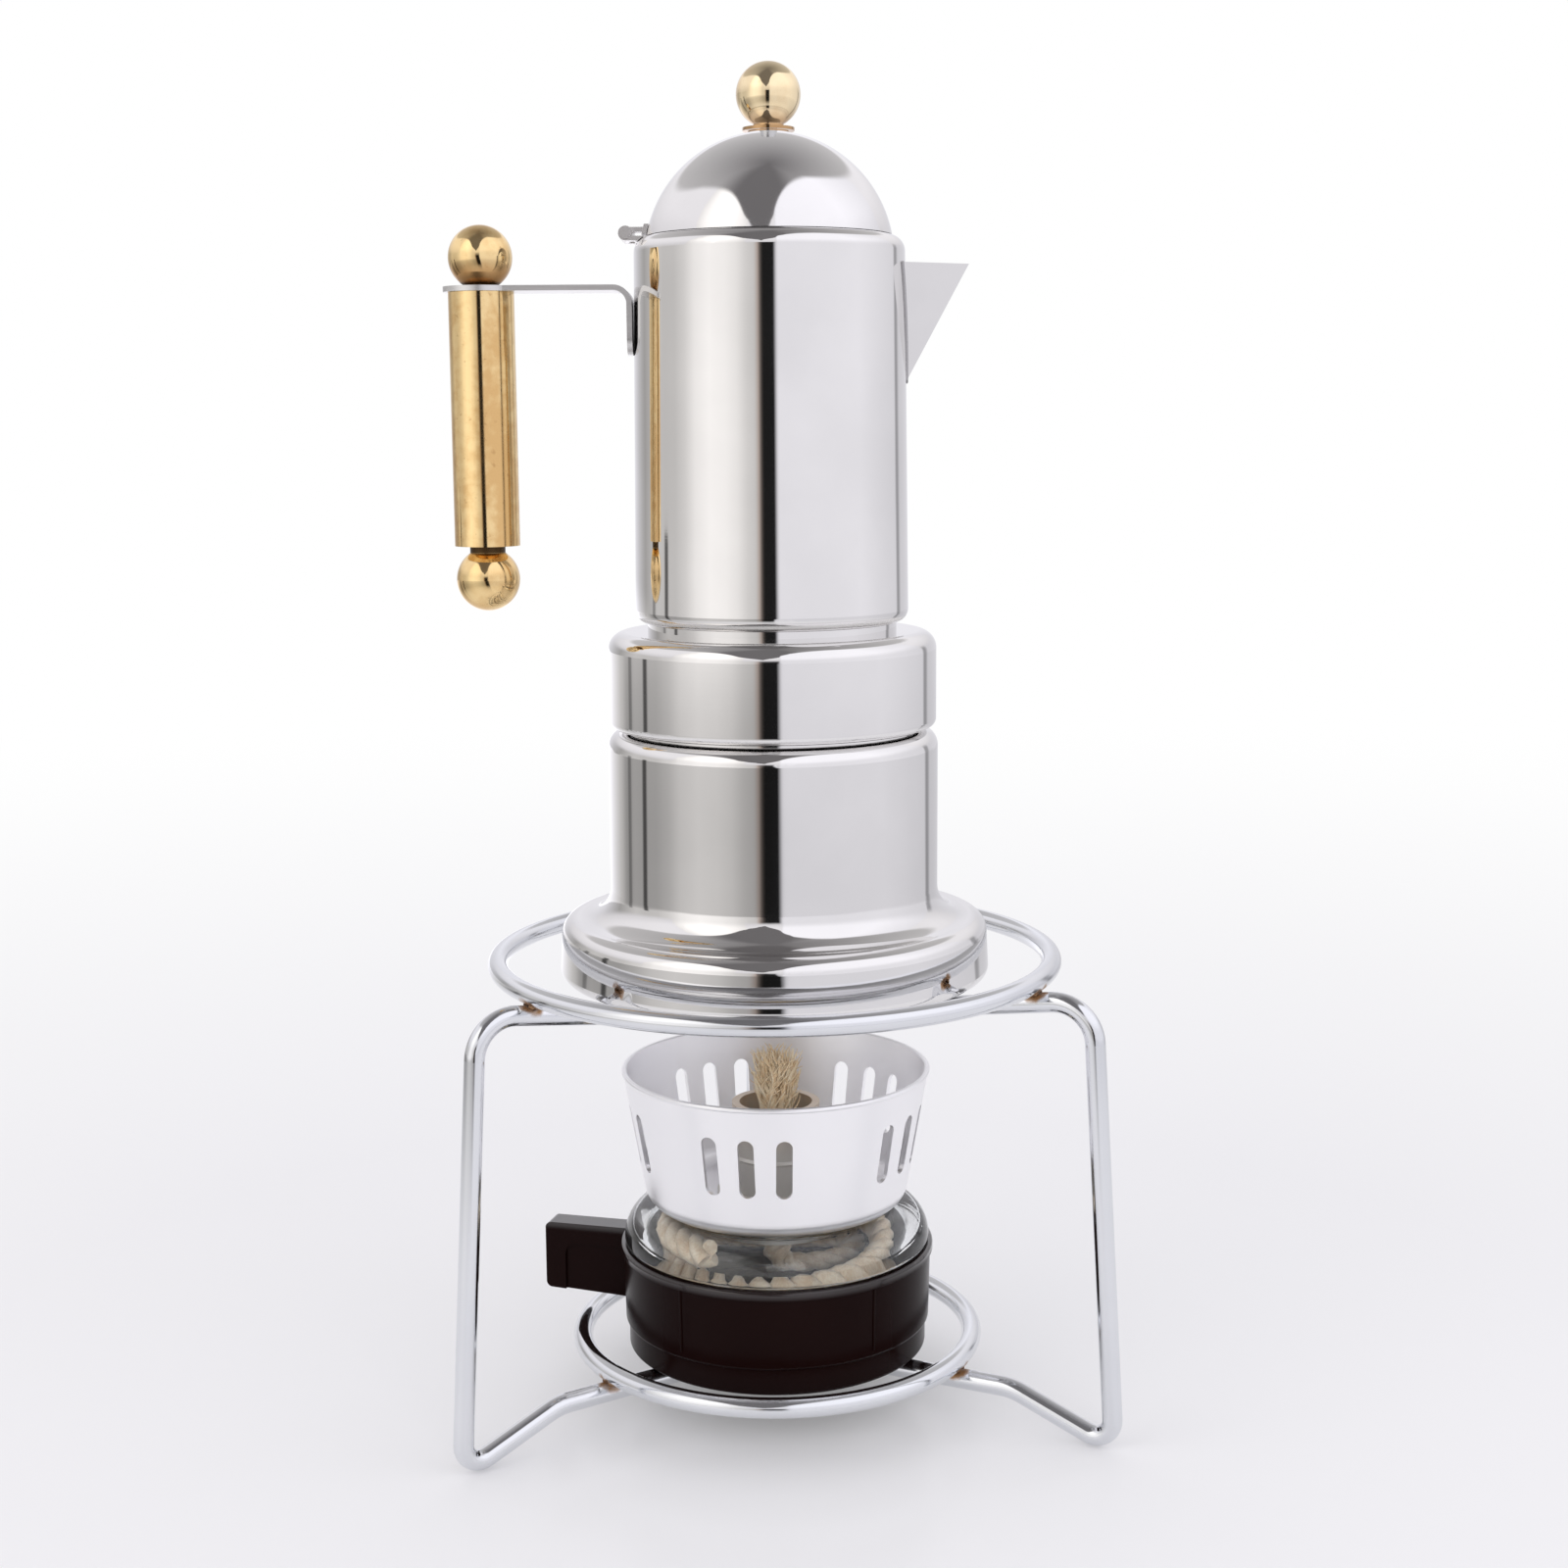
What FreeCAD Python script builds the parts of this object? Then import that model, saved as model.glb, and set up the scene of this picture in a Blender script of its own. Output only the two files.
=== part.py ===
import FreeCAD, Part
import math
import os

# Stove-top coffee pot on a wire stand over a spirit burner. Lengths are in millimetres, angles in degrees.
# The origin is on the pot's axis at the floor. X points to the spout, -Y to the front and Z up.

V = FreeCAD.Vector
ORIGIN = V(0, 0, 0)
ALONG_X = V(1, 0, 0)
ALONG_Y = V(0, 1, 0)
UP = V(0, 0, 1)

# Fits
WELD_GAP = 0.02      # between pieces that are welded, pressed or screwed together
CURVE_GAP = 0.1      # the same between curved faces that follow each other
SEAT_GAP = 0.05      # between a loose piece and the flat face that carries it
WIRE_GAP = 0.1       # between a loose piece and the wires that carry it
RUN_GAP = 0.05       # round a pin that turns or slides
SLIP_GAP = 0.3       # round a piece that drops into another

# Wire stand
WIRE_D = 4.6
UPPER_RING_R = 64.5
UPPER_RING_Z = 106.1
LOWER_RING_R = 46.5
LOWER_RING_Z = 14.6
LEG_NAMES = ("front_left_leg", "front_right_leg", "rear_leg")
FIRST_LEG_ANGLE = 214.0
LEG_STANDOFF = 13.5
LEG_SPLAY = 3.5
LEG_TOP_BEND = 9.0
FOOT_BEND = 4.2
FOOT_RISE = 22.0
INNER_BEND = 14.0
BAR_DIP = 8.0
BAR_END_R = 20.0

# Boiler
BASE_INSET = 9.0
BASE_T = 1.9
BASE_EDGE = 0.6
FOOT_FLARE = 12.0
FOOT_TAPER = 0.7
FOOT_H = 14.1
FOOT_BOTTOM_EDGE = 2.4
FOOT_TOP_EDGE = 3.6
FOOT_SWEEP = 7.0
BOILER_R = 38.0
BOILER_H = 57.6
BOILER_SHOULDER = 3.8
BOILER_WALL = 1.2
NECK_STEP = 4.4
NECK_H = 9.0

# Safety valve at the back of the boiler
VALVE_RISE = 42.0
VALVE_R = 4.0
VALVE_HEX = 11.0
VALVE_HEX_T = 5.0
VALVE_CAP_R = 4.4
VALVE_CAP_L = 5.0
VALVE_CAP_WALL = 1.0
VALVE_NUT_T = 2.5
VALVE_PIN_R = 1.0
VALVE_PIN_HEAD_R = 1.7
VALVE_PIN_HEAD_T = 1.2
VALVE_PIN_OUT = 3.0
VALVE_SEAT_ROOM = 0.4
VALVE_SEAT_T = 0.8
VALVE_CHAMBER_R = 2.8
VALVE_CHAMBER_L = 6.0
SPRING_WIRE_D = 0.5
SPRING_ROOM = 0.55
SPRING_TURNS = 4

# Filter basket
BASKET_FLANGE_INSET = 0.6
BASKET_SHEET = 0.8
BASKET_DEPTH = 24.0
FUNNEL_DROP = 7.0
STEM_R = 4.5
STEM_LIFT = 5.0
SIEVE_HOLE_R = 0.7
SIEVE_RINGS = 5

# Jug and its screw collar
COLLAR_WALL = 3.7
COLLAR_H = 21.9
COLLAR_LIFT = 0.7
COLLAR_SHOULDER = 4.0
COLLAR_EDGE = 1.8
COLLAR_TOP_T = 1.6
WAIST_STEP = 2.7
WAIST_H = 2.0
JUG_R = 31.2
JUG_TAPER = 0.9
JUG_H = 86.0
JUG_WALL = 0.9
JUG_BOTTOM_EDGE = 3.0
JUG_SHOULDER = 3.5
RIM_W = 3.8
GASKET_T = 3.0
GASKET_W = 8.6
PLATE_LEDGE = 4.6
PLATE_T = 0.8
CHAMBER_EDGE = 2.0
COLUMN_R = 5.5
COLUMN_TAPER = 1.0
COLUMN_WALL = 1.6
COLUMN_H = 62.0
COLUMN_PORT_R = 1.8
SPOUT_REACH = 14.336
SPOUT_DROP = 6.2
SPOUT_HEIGHT = 26.0
SPOUT_HALF_ANGLE = 28.0
SPOUT_SHEET = 0.8

# Handle
HANDLE_REACH = 34.4
BALL_R = 7.2
STRIP_DROP = 10.6
STRIP_T = 1.2
STRIP_W = 13.0
STRIP_END_R = 8.5
STRIP_BEND = 3.0
TAB_H = 15.4
TAB_CORNER = 4.0
GRIP_R = 7.4
GRIP_L = 56.5
ROD_R = 2.5
ROD_IN_BALL = 9.0
TOP_BALL_RISE = 6.4
BOTTOM_BALL_DROP = 7.6
BALL_NECK_R = 4.0

# Lid, knob and hinge
LID_LAP = 1.0
DOME_BULGE = 0.5
LID_WALL = 0.8
SKIRT_H = 2.5
KNOB_FLANGE_R = 5.8
KNOB_FLANGE_T = 0.7
KNOB_FLANGE_LIFT = 0.05
KNOB_FOOT_R = 4.6
KNOB_FOOT_SINK = 0.7
KNOB_FLARE = 0.6
KNOB_NECK_R = 3.4
KNOB_NECK_H = 1.55
SCREW_R = 2.0
SCREW_HEAD_R = 3.8
SCREW_HEAD_T = 1.8
SCREW_IN_KNOB = 5.0
HINGE_OUT = 1.5
HINGE_LIFT = 0.5
KNUCKLE_R = 1.6
HINGE_PIN_R = 0.8
LID_KNUCKLE_L = 5.0
JUG_KNUCKLE_L = 3.4
HINGE_SIDE_GAP = 0.2
HINGE_SHEET = 1.0
LEAF_H = 2.2
LEAF_W = 7.0

# Spirit burner
BURNER_TURN = 165.0
BASE_RING_INSET = 0.8
BASE_RING_W = 9.4
BASE_RING_H = 6.2
CUP_FOOT_R = 36.2
CUP_DRAFT = 0.4
CUP_WALL = 1.7
CUP_H = 18.9
CUP_FLOOR = 2.5
CUP_LIP = 0.8
CUP_RIM_H = 2.2
CUP_RIM_OUT = 0.6
LUG_L = 21.1
LUG_DROP = 0.4
LUG_T = 6.0
LUG_TAPER = 1.2
LUG_CORNER = 1.5
LUG_PANEL_DEPTH = 0.8
LUG_PANEL_EDGE = 5.0
JAR_WALL = 2.4
JAR_FLOOR = 3.0
JAR_RISE = 9.3
JAR_SHOULDER = 8.0
JAR_SHOULDER_INSET = 0.4
JAR_BEAD_EDGE = 0.8
JAR_ROOM_EDGE = 5.0
JAR_MOUTH_ROOM = 0.8
SHIELD_FOOT_R = 30.4
SHIELD_RIM_R = 36.1
SHIELD_H = 32.6
SHIELD_WALL = 0.9
SHIELD_EDGE = 5.0
SLOT_W = 3.7
SLOT_H = 14.2
SLOT_RISE = 17.85
SLOT_PITCH = 14.6
SLOTS_IN_GROUP = 3
SLOT_GROUP_ANGLES = (-101.5, -27.5, 46.0, 119.5, 189.0)
HOLDER_R = 10.4
HOLDER_WALL = 1.8
HOLDER_RISE = 24.0
HOLDER_DIP = 8.0
HOLDER_FLANGE_W = 3.6
HOLDER_FLANGE_T = 1.6
HOLDER_BEAD = 0.6
HOLDER_BEAD_RISE = 10.0
HOLDER_SLEEVE_DROP = 12.0
HOLDER_SLEEVE_L = 8.0
WICK_D = 7.0
WICK_OUT = 12.6
WICK_BEND = 8.0
COIL_ROOM = 1.8
COIL_GAP = 0.8
COIL_TURNS = 1.5


def slope(angle):
    """Rise over run of a line at an angle."""
    return math.tan(math.radians(angle))


def spoke(radius, angle, z=0.0):
    """Point at a radius, an angle from X and a height."""
    return V(radius * math.cos(math.radians(angle)), radius * math.sin(math.radians(angle)), z)


# Radii of the stand and the pot
leg_top_r = UPPER_RING_R + LEG_STANDOFF
foot_r = BOILER_R + FOOT_FLARE
foot_top_r = foot_r - FOOT_TAPER
base_r = foot_r - BASE_INSET
neck_r = BOILER_R - NECK_STEP
neck_bore_r = neck_r - BOILER_WALL
basket_flange_r = neck_r - BASKET_FLANGE_INSET
collar_bore_r = neck_r + SLIP_GAP
collar_r = collar_bore_r + COLLAR_WALL
plate_r = collar_bore_r - PLATE_LEDGE - SLIP_GAP
waist_r = JUG_R - WAIST_STEP
jug_top_r = JUG_R - JUG_TAPER
mouth_r = jug_top_r - RIM_W
lid_r = mouth_r + LID_LAP
dome_r = lid_r + DOME_BULGE
column_top_r = COLUMN_R - COLUMN_TAPER
handle_x = -(jug_top_r + HANDLE_REACH)
valve_seat_r = VALVE_CHAMBER_R - VALVE_SEAT_ROOM
spring_r = VALVE_CHAMBER_R - SPRING_ROOM - SPRING_WIRE_D / 2

# Radii of the burner
cup_r = CUP_FOOT_R + CUP_DRAFT
lug_r = cup_r + LUG_L
base_ring_r = CUP_FOOT_R - BASE_RING_INSET
base_ring_bore_r = base_ring_r - BASE_RING_W
jar_r = CUP_FOOT_R - CUP_WALL - SLIP_GAP
jar_shoulder_r = cup_r - JAR_SHOULDER_INSET
jar_mouth_r = HOLDER_R + JAR_MOUTH_ROOM
holder_flange_r = HOLDER_R + HOLDER_FLANGE_W
coil_r = jar_r - JAR_WALL - WICK_D / 2 - COIL_ROOM
coil_pitch = WICK_D + COIL_GAP

# Heights of the stand
dip_cosine = math.cos(math.radians(BAR_DIP))
upper_bar_z = UPPER_RING_Z - (WIRE_D + WELD_GAP) / dip_cosine
lower_bar_z = LOWER_RING_Z - WIRE_D - WELD_GAP


def bar_z(radius):
    """Height of the upper bar's centre line at a radius."""
    return upper_bar_z - (UPPER_RING_R - radius) * slope(BAR_DIP)


# Heights of the pot: its base edge rests on the three sloping bars
base_edge_sink = BASE_EDGE * (dip_cosine + math.sin(math.radians(BAR_DIP)) - 1) / dip_cosine
pot_z = bar_z(base_r) + WIRE_D / 2 / dip_cosine - base_edge_sink + WIRE_GAP
boiler_z = pot_z + BASE_T + WELD_GAP
boiler_top = boiler_z + BOILER_H
neck_top = boiler_top + NECK_H
collar_z = boiler_top + COLLAR_LIFT
collar_top = collar_z + COLLAR_H
gasket_z = neck_top + BASKET_SHEET + 2 * SEAT_GAP
plate_z = gasket_z + GASKET_T + SEAT_GAP
jug_z = collar_top + WAIST_H + WELD_GAP
jug_top = jug_z + JUG_H
spout_top = jug_top - SPOUT_DROP

# Heights of the lid, the handle and the hinge
lid_z = jug_top + SEAT_GAP
dome_centre = lid_z - math.sqrt(dome_r ** 2 - lid_r ** 2)
dome_top = dome_centre + dome_r
knob_z = dome_top + KNOB_NECK_H + math.sqrt(BALL_R ** 2 - KNOB_NECK_R ** 2)
strip_top = jug_top - STRIP_DROP
grip_top = strip_top - STRIP_T - WELD_GAP
grip_z = grip_top - GRIP_L
top_ball_z = strip_top + WELD_GAP + TOP_BALL_RISE
bottom_ball_z = grip_z - WELD_GAP - BOTTOM_BALL_DROP
hinge_x = -(jug_top_r + HINGE_OUT)
hinge_z = jug_top + HINGE_LIFT

# Heights of the burner
burner_z = lower_bar_z + WIRE_D / 2 + WIRE_GAP
cup_z = burner_z + BASE_RING_H + WELD_GAP
cup_top = cup_z + CUP_H
jar_z = cup_z + CUP_FLOOR + SEAT_GAP
jar_top = cup_top + JAR_RISE
shield_z = jar_top + SEAT_GAP
flange_z = shield_z + SHIELD_WALL + SEAT_GAP
holder_top = jar_top + HOLDER_RISE
coil_z = jar_z + JAR_FLOOR + WICK_D / 2 + SLIP_GAP


def jug_r(z):
    """Outer radius of the jug's wall at a height."""
    return JUG_R - JUG_TAPER * (z - jug_z) / JUG_H


spout_tip_x = jug_r(spout_top) + SPOUT_REACH


def corner_arc(before, corner, after, radius):
    """Start, middle and end of the arc that rounds one corner."""
    back = (before - corner).normalize()
    ahead = (after - corner).normalize()
    half = back.getAngle(ahead) / 2
    bisector = (back + ahead).normalize()
    reach = radius / math.tan(half)
    middle = corner + bisector * (radius / math.sin(half) - radius)
    return corner + back * reach, middle, corner + ahead * reach


def rounded_wire(corners, closed=True):
    """Outline in the XZ plane; a corner is (x, z) or (x, z, radius)."""
    points = [V(corner[0], 0, corner[1]) for corner in corners]
    stops = []
    for number, corner in enumerate(corners):
        if len(corner) == 3:
            after = points[(number + 1) % len(points)]
            stops.append(corner_arc(points[number - 1], points[number], after, corner[2]))
        else:
            stops.append((points[number], None, points[number]))
    edges = []
    for number, (start, middle, end) in enumerate(stops):
        if middle:
            edges.append(Part.Arc(start, middle, end).toShape())
        if number + 1 < len(stops) or closed:
            following = stops[(number + 1) % len(stops)][0]
            if end.distanceToPoint(following) > 1e-6:
                edges.append(Part.LineSegment(end, following).toShape())
    return Part.Wire(edges)


def lathe(corners):
    """Solid of revolution about Z."""
    return Part.Face(rounded_wire(corners)).revolve(ORIGIN, UP, 360)


def plate(corners, width):
    """Outline in the XZ plane made as wide as given, half each side of it."""
    solid = Part.Face(rounded_wire(corners)).extrude(V(0, width, 0))
    solid.translate(V(0, -width / 2, 0))
    return solid


def rod(radius, length, start, direction=UP):
    return Part.makeCylinder(radius, length, start, direction)


def ring_of(inner, outer, z, height):
    """Plain ring about Z."""
    return rod(outer, height, V(0, 0, z)).cut(rod(inner, height, V(0, 0, z)))


def hex_corner_r(across):
    return across / 2 / math.cos(math.pi / 6)


def hexagon(across, length, start):
    """Hexagonal bar along Y."""
    points = []
    for number in range(7):
        corner = spoke(hex_corner_r(across), 60 * number)
        points.append(start + V(corner.x, 0, corner.y))
    return Part.Face(Part.makePolygon(points)).extrude(V(0, length, 0))


def arc_from(start, tangent, end):
    """Arc that leaves a point along a tangent and ends at another point."""
    chord = end - start
    side = chord - tangent * chord.dot(tangent)
    if side.Length < 1e-7:
        return Part.LineSegment(start, end).toShape()
    radius = chord.dot(chord) / (2 * side.Length)
    centre = start + side.normalize() * radius
    middle = centre + ((start - centre) + (end - centre)).normalize() * radius
    return Part.Arc(start, middle, end).toShape()


def biarc(first, last):
    """Two arcs that join two stops, each a point and its direction of travel."""
    start, leaving = first
    end, arriving = last
    chord = end - start
    both = leaving + arriving
    spread = 2 * (1 - leaving.dot(arriving))
    along = chord.dot(both)
    if spread < 1e-9:
        reach = chord.dot(chord) / (2 * along)
    else:
        reach = (math.sqrt(along ** 2 + spread * chord.dot(chord)) - along) / spread
    joint = (start + end + (leaving - arriving) * reach) * 0.5
    return [arc_from(start, leaving, joint), arc_from(end, arriving * -1, joint)]


def with_straight_ends(stops, before, after):
    """One smooth path through stops, with a straight run at each end."""
    start, leaving = stops[0]
    end, arriving = stops[-1]
    edges = [Part.LineSegment(start - leaving * before, start).toShape()]
    for first, last in zip(stops, stops[1:]):
        edges += biarc(first, last)
    edges.append(Part.LineSegment(end, end + arriving * after).toShape())
    return Part.Wire(edges)


def tube_along(path, radius):
    """Round tube along a path."""
    first = path.OrderedEdges[0]
    start = path.OrderedVertexes[0].Point
    ends = [first.FirstParameter, first.LastParameter]
    if first.valueAt(ends[0]).distanceToPoint(start) > 1e-6:
        ends.reverse()
    ring = Part.Wire(Part.makeCircle(radius, start, first.tangentAt(ends[0])))
    return path.makePipeShell([ring], True, False)


def least_gap(path, diameter):
    """Least gap between stretches of a wound tube that lie a few diameters apart along it."""
    points = path.discretize(Distance=diameter / 2)
    skip = 6
    gaps = []
    for number, point in enumerate(points):
        gaps += [point.distanceToPoint(other) for other in points[number + skip:]]
    return min(gaps) - diameter


# Wire stand
def stand_ring(radius, z):
    return Part.makeTorus(radius, WIRE_D / 2, V(0, 0, z))


def stand_leg(angle):
    """One bent wire: upper bar, leg, foot and lower bar."""
    def leg_r(z):
        return leg_top_r + (bar_z(leg_top_r) - z) * slope(LEG_SPLAY)

    bend_z = WIRE_D / 2 + FOOT_BEND
    bend_r = leg_r(bend_z) - FOOT_BEND / math.cos(math.radians(LEG_SPLAY))
    rise_r = bend_r - FOOT_BEND * math.sin(math.radians(FOOT_RISE))
    rise_z = bend_z - FOOT_BEND * math.cos(math.radians(FOOT_RISE))
    run = 1 / slope(FOOT_RISE)
    corner_z = (rise_r + rise_z * run - leg_r(0)) / (run - slope(LEG_SPLAY))
    inner_r = rise_r - (lower_bar_z - rise_z) * run
    path = rounded_wire([
        (BAR_END_R, bar_z(BAR_END_R)),
        (leg_top_r, bar_z(leg_top_r), LEG_TOP_BEND),
        (leg_r(corner_z), corner_z, FOOT_BEND),
        (inner_r, lower_bar_z, INNER_BEND),
        (BAR_END_R, lower_bar_z),
    ], closed=False)
    leg = tube_along(path, WIRE_D / 2)
    leg.rotate(ORIGIN, UP, angle)
    return leg


# Boiler
def base_disc():
    return lathe([(0, pot_z), (base_r, pot_z, BASE_EDGE), (base_r, pot_z + BASE_T), (0, pot_z + BASE_T)])


def boiler_shell():
    """Flared foot, straight wall, shoulder and neck, with the valve's hole at the back."""
    foot_top = boiler_z + FOOT_H
    wall = BOILER_WALL
    shell = lathe([
        (0, boiler_z),
        (foot_r, boiler_z, FOOT_BOTTOM_EDGE),
        (foot_top_r, foot_top, FOOT_TOP_EDGE),
        (BOILER_R, foot_top, FOOT_SWEEP),
        (BOILER_R, boiler_top, BOILER_SHOULDER),
        (neck_r, boiler_top),
        (neck_r, neck_top),
        (neck_bore_r, neck_top),
        (neck_bore_r, boiler_top - wall),
        (BOILER_R - wall, boiler_top - wall, BOILER_SHOULDER - wall),
        (BOILER_R - wall, foot_top - wall, FOOT_SWEEP + wall),
        (foot_top_r - wall, foot_top - wall, FOOT_TOP_EDGE - wall),
        (foot_r - wall, boiler_z + wall, FOOT_BOTTOM_EDGE - wall),
        (0, boiler_z + wall),
    ])
    return shell.cut(rod(VALVE_R + CURVE_GAP, BOILER_R, V(0, 0, pot_z + VALVE_RISE), ALONG_Y))


# Safety valve, laid along Y at the back of the boiler
valve_z = pot_z + VALVE_RISE
valve_hex_y = BOILER_R + CURVE_GAP
valve_cap_y = valve_hex_y + VALVE_HEX_T
valve_end_y = valve_cap_y + VALVE_CAP_L
chamber_end_y = valve_end_y - VALVE_CAP_WALL
chamber_y = chamber_end_y - VALVE_CHAMBER_L
nut_seat_y = math.sqrt((BOILER_R - BOILER_WALL) ** 2 - hex_corner_r(VALVE_HEX) ** 2)
nut_y = nut_seat_y - CURVE_GAP - VALVE_NUT_T


def on_valve(y):
    return V(0, y, valve_z)


def valve_body():
    """Threaded shank, hexagon and round cap, hollow for the spring."""
    body = rod(VALVE_R, valve_hex_y - nut_y, on_valve(nut_y), ALONG_Y)
    body = body.fuse(hexagon(VALVE_HEX, VALVE_HEX_T, on_valve(valve_hex_y)))
    body = body.fuse(rod(VALVE_CAP_R, VALVE_CAP_L, on_valve(valve_cap_y), ALONG_Y))
    body = body.cut(rod(VALVE_CHAMBER_R, VALVE_CHAMBER_L, on_valve(chamber_y), ALONG_Y))
    passage = rod(VALVE_PIN_R + RUN_GAP, valve_end_y, on_valve(nut_y), ALONG_Y)
    return body.cut(passage).removeSplitter()


def valve_nut():
    nut = hexagon(VALVE_HEX, VALVE_NUT_T, on_valve(nut_y))
    return nut.cut(rod(VALVE_R + WELD_GAP, VALVE_NUT_T, on_valve(nut_y), ALONG_Y))


def valve_pin():
    """Pin with its sealing disc inside the chamber and its head outside."""
    seat_y = chamber_y + SEAT_GAP
    pin_l = valve_end_y + VALVE_PIN_OUT - seat_y
    pin = rod(VALVE_PIN_R, pin_l, on_valve(seat_y), ALONG_Y)
    pin = pin.fuse(rod(valve_seat_r, VALVE_SEAT_T, on_valve(seat_y), ALONG_Y))
    head_y = seat_y + pin_l - VALVE_PIN_HEAD_T
    return pin.fuse(rod(VALVE_PIN_HEAD_R, VALVE_PIN_HEAD_T, on_valve(head_y), ALONG_Y)).removeSplitter()


def valve_spring():
    """Coil between the sealing disc and the end of the chamber."""
    low = chamber_y + SEAT_GAP + VALVE_SEAT_T + SEAT_GAP + SPRING_WIRE_D / 2
    high = chamber_end_y - SEAT_GAP - SPRING_WIRE_D / 2
    pitch = (high - low) / SPRING_TURNS
    stops = []
    last = 4 * SPRING_TURNS
    for quarter in range(last + 1):
        turn = math.pi / 2 * quarter
        point = V(spring_r * math.cos(turn), low + pitch * quarter / 4, valve_z + spring_r * math.sin(turn))
        rate = pitch / (2 * math.pi) if 0 < quarter < last else 0
        travel = V(-spring_r * math.sin(turn), rate, spring_r * math.cos(turn))
        stops.append((point, travel.normalize()))
    path = with_straight_ends(stops, SPRING_WIRE_D, SPRING_WIRE_D)
    print("valve spring least gap", round(least_gap(path, SPRING_WIRE_D), 2))
    return tube_along(path, SPRING_WIRE_D / 2)


# Filter basket
basket_r = neck_bore_r - SLIP_GAP
basket_floor = neck_top - BASKET_DEPTH
stem_top = basket_floor - FUNNEL_DROP
stem_z = boiler_z + BOILER_WALL + STEM_LIFT
sieve_z = basket_floor + BASKET_SHEET + SEAT_GAP


def filter_basket():
    """Flanged cup, funnel and stem in one sheet."""
    rim = neck_top + SEAT_GAP
    sheet = BASKET_SHEET
    return lathe([
        (STEM_R, stem_z),
        (STEM_R, stem_top),
        (basket_r, basket_floor),
        (basket_r, rim),
        (basket_flange_r, rim),
        (basket_flange_r, rim + sheet),
        (basket_r - sheet, rim + sheet),
        (basket_r - sheet, basket_floor + sheet),
        (STEM_R - sheet, stem_top + sheet),
        (STEM_R - sheet, stem_z),
    ])


def perforated_disc(radius, z, thickness):
    """Round plate with rings of small holes."""
    disc = rod(radius, thickness, V(0, 0, z))
    step = radius / (SIEVE_RINGS + 1)
    holes = [rod(SIEVE_HOLE_R, thickness, V(0, 0, z))]
    for ring in range(1, SIEVE_RINGS + 1):
        count = 6 * ring
        for number in range(count):
            holes.append(rod(SIEVE_HOLE_R, thickness, spoke(step * ring, 360 / count * number, z)))
    return disc.cut(holes)


def basket_sieve():
    return perforated_disc(basket_r - BASKET_SHEET - RUN_GAP, sieve_z, BASKET_SHEET)


# Jug
def column_hole(z, height):
    return rod(COLUMN_R + WELD_GAP, height, V(0, 0, z))


def jug_outside(grow):
    """Solid inside the jug's outer face, moved out by a gap."""
    return lathe([
        (0, jug_z),
        (JUG_R + grow, jug_z, JUG_BOTTOM_EDGE),
        (jug_top_r + grow, jug_top + grow, JUG_SHOULDER),
        (0, jug_top + grow),
    ])


def spout_wedge(back, top):
    """V-shaped wedge whose keel line is moved back towards the axis, up to a height."""
    keel_slope = (spout_tip_x - jug_r(spout_top - SPOUT_HEIGHT)) / SPOUT_HEIGHT
    root_x = jug_r(jug_top) - JUG_SHOULDER - JUG_WALL
    tip_x = spout_tip_x - back + (top - spout_top) * keel_slope
    keel = V(root_x, 0, top - (tip_x - root_x) / keel_slope)
    tip = V(tip_x, 0, top)
    half_w = (tip_x - root_x) * slope(SPOUT_HALF_ANGLE)
    left = V(root_x, half_w, top)
    right = V(root_x, -half_w, top)
    faces = [[keel, tip, left], [keel, right, tip], [left, tip, right], [keel, left, right]]
    shell = Part.Shell([Part.Face(Part.makePolygon(face + face[:1])) for face in faces])
    wedge = Part.Solid(shell)
    if wedge.Volume < 0:
        wedge.reverse()
    return wedge


def spout_inset():
    """How far the wedge moves back to leave the spout's sheet thickness."""
    keel_slope = (spout_tip_x - jug_r(spout_top - SPOUT_HEIGHT)) / SPOUT_HEIGHT
    sine = math.sin(math.radians(SPOUT_HALF_ANGLE))
    return SPOUT_SHEET * math.sqrt(1 + (sine * keel_slope) ** 2) / sine


def spout():
    trough = spout_wedge(0, spout_top).cut(spout_wedge(spout_inset(), jug_top))
    return trough.cut(jug_outside(CURVE_GAP))


def jug_shell():
    """Tapered wall with a rounded shoulder, a floor and the hole behind the spout."""
    wall = JUG_WALL
    shell = lathe([
        (0, jug_z),
        (JUG_R, jug_z, JUG_BOTTOM_EDGE),
        (jug_top_r, jug_top, JUG_SHOULDER),
        (mouth_r, jug_top),
        (mouth_r, jug_top - wall),
        (jug_top_r - wall, jug_top - wall, JUG_SHOULDER - wall),
        (JUG_R - wall, jug_z + wall, JUG_BOTTOM_EDGE - wall),
        (0, jug_z + wall),
    ])
    return shell.cut([column_hole(jug_z, wall), spout_wedge(spout_inset(), spout_top)])


def screw_collar():
    """Ring that screws on the boiler's neck, closed above by a plate that carries the jug."""
    ledge = plate_z
    chamber_r = plate_r + SLIP_GAP
    chamber_top = collar_top - COLLAR_TOP_T
    shoulder = min(COLLAR_SHOULDER, collar_r - waist_r - WELD_GAP)
    collar = lathe([
        (collar_bore_r, collar_z),
        (collar_r, collar_z, COLLAR_EDGE),
        (collar_r, collar_top, shoulder),
        (waist_r, collar_top),
        (waist_r, collar_top + WAIST_H),
        (0, collar_top + WAIST_H),
        (0, chamber_top),
        (chamber_r, chamber_top, CHAMBER_EDGE),
        (chamber_r, ledge),
        (collar_bore_r, ledge),
    ])
    return collar.cut(column_hole(chamber_top, COLLAR_H))


def gasket():
    return ring_of(collar_bore_r - SLIP_GAP - GASKET_W, collar_bore_r - SLIP_GAP, gasket_z, GASKET_T)


def filter_plate():
    return perforated_disc(plate_r, plate_z, PLATE_T)


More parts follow.
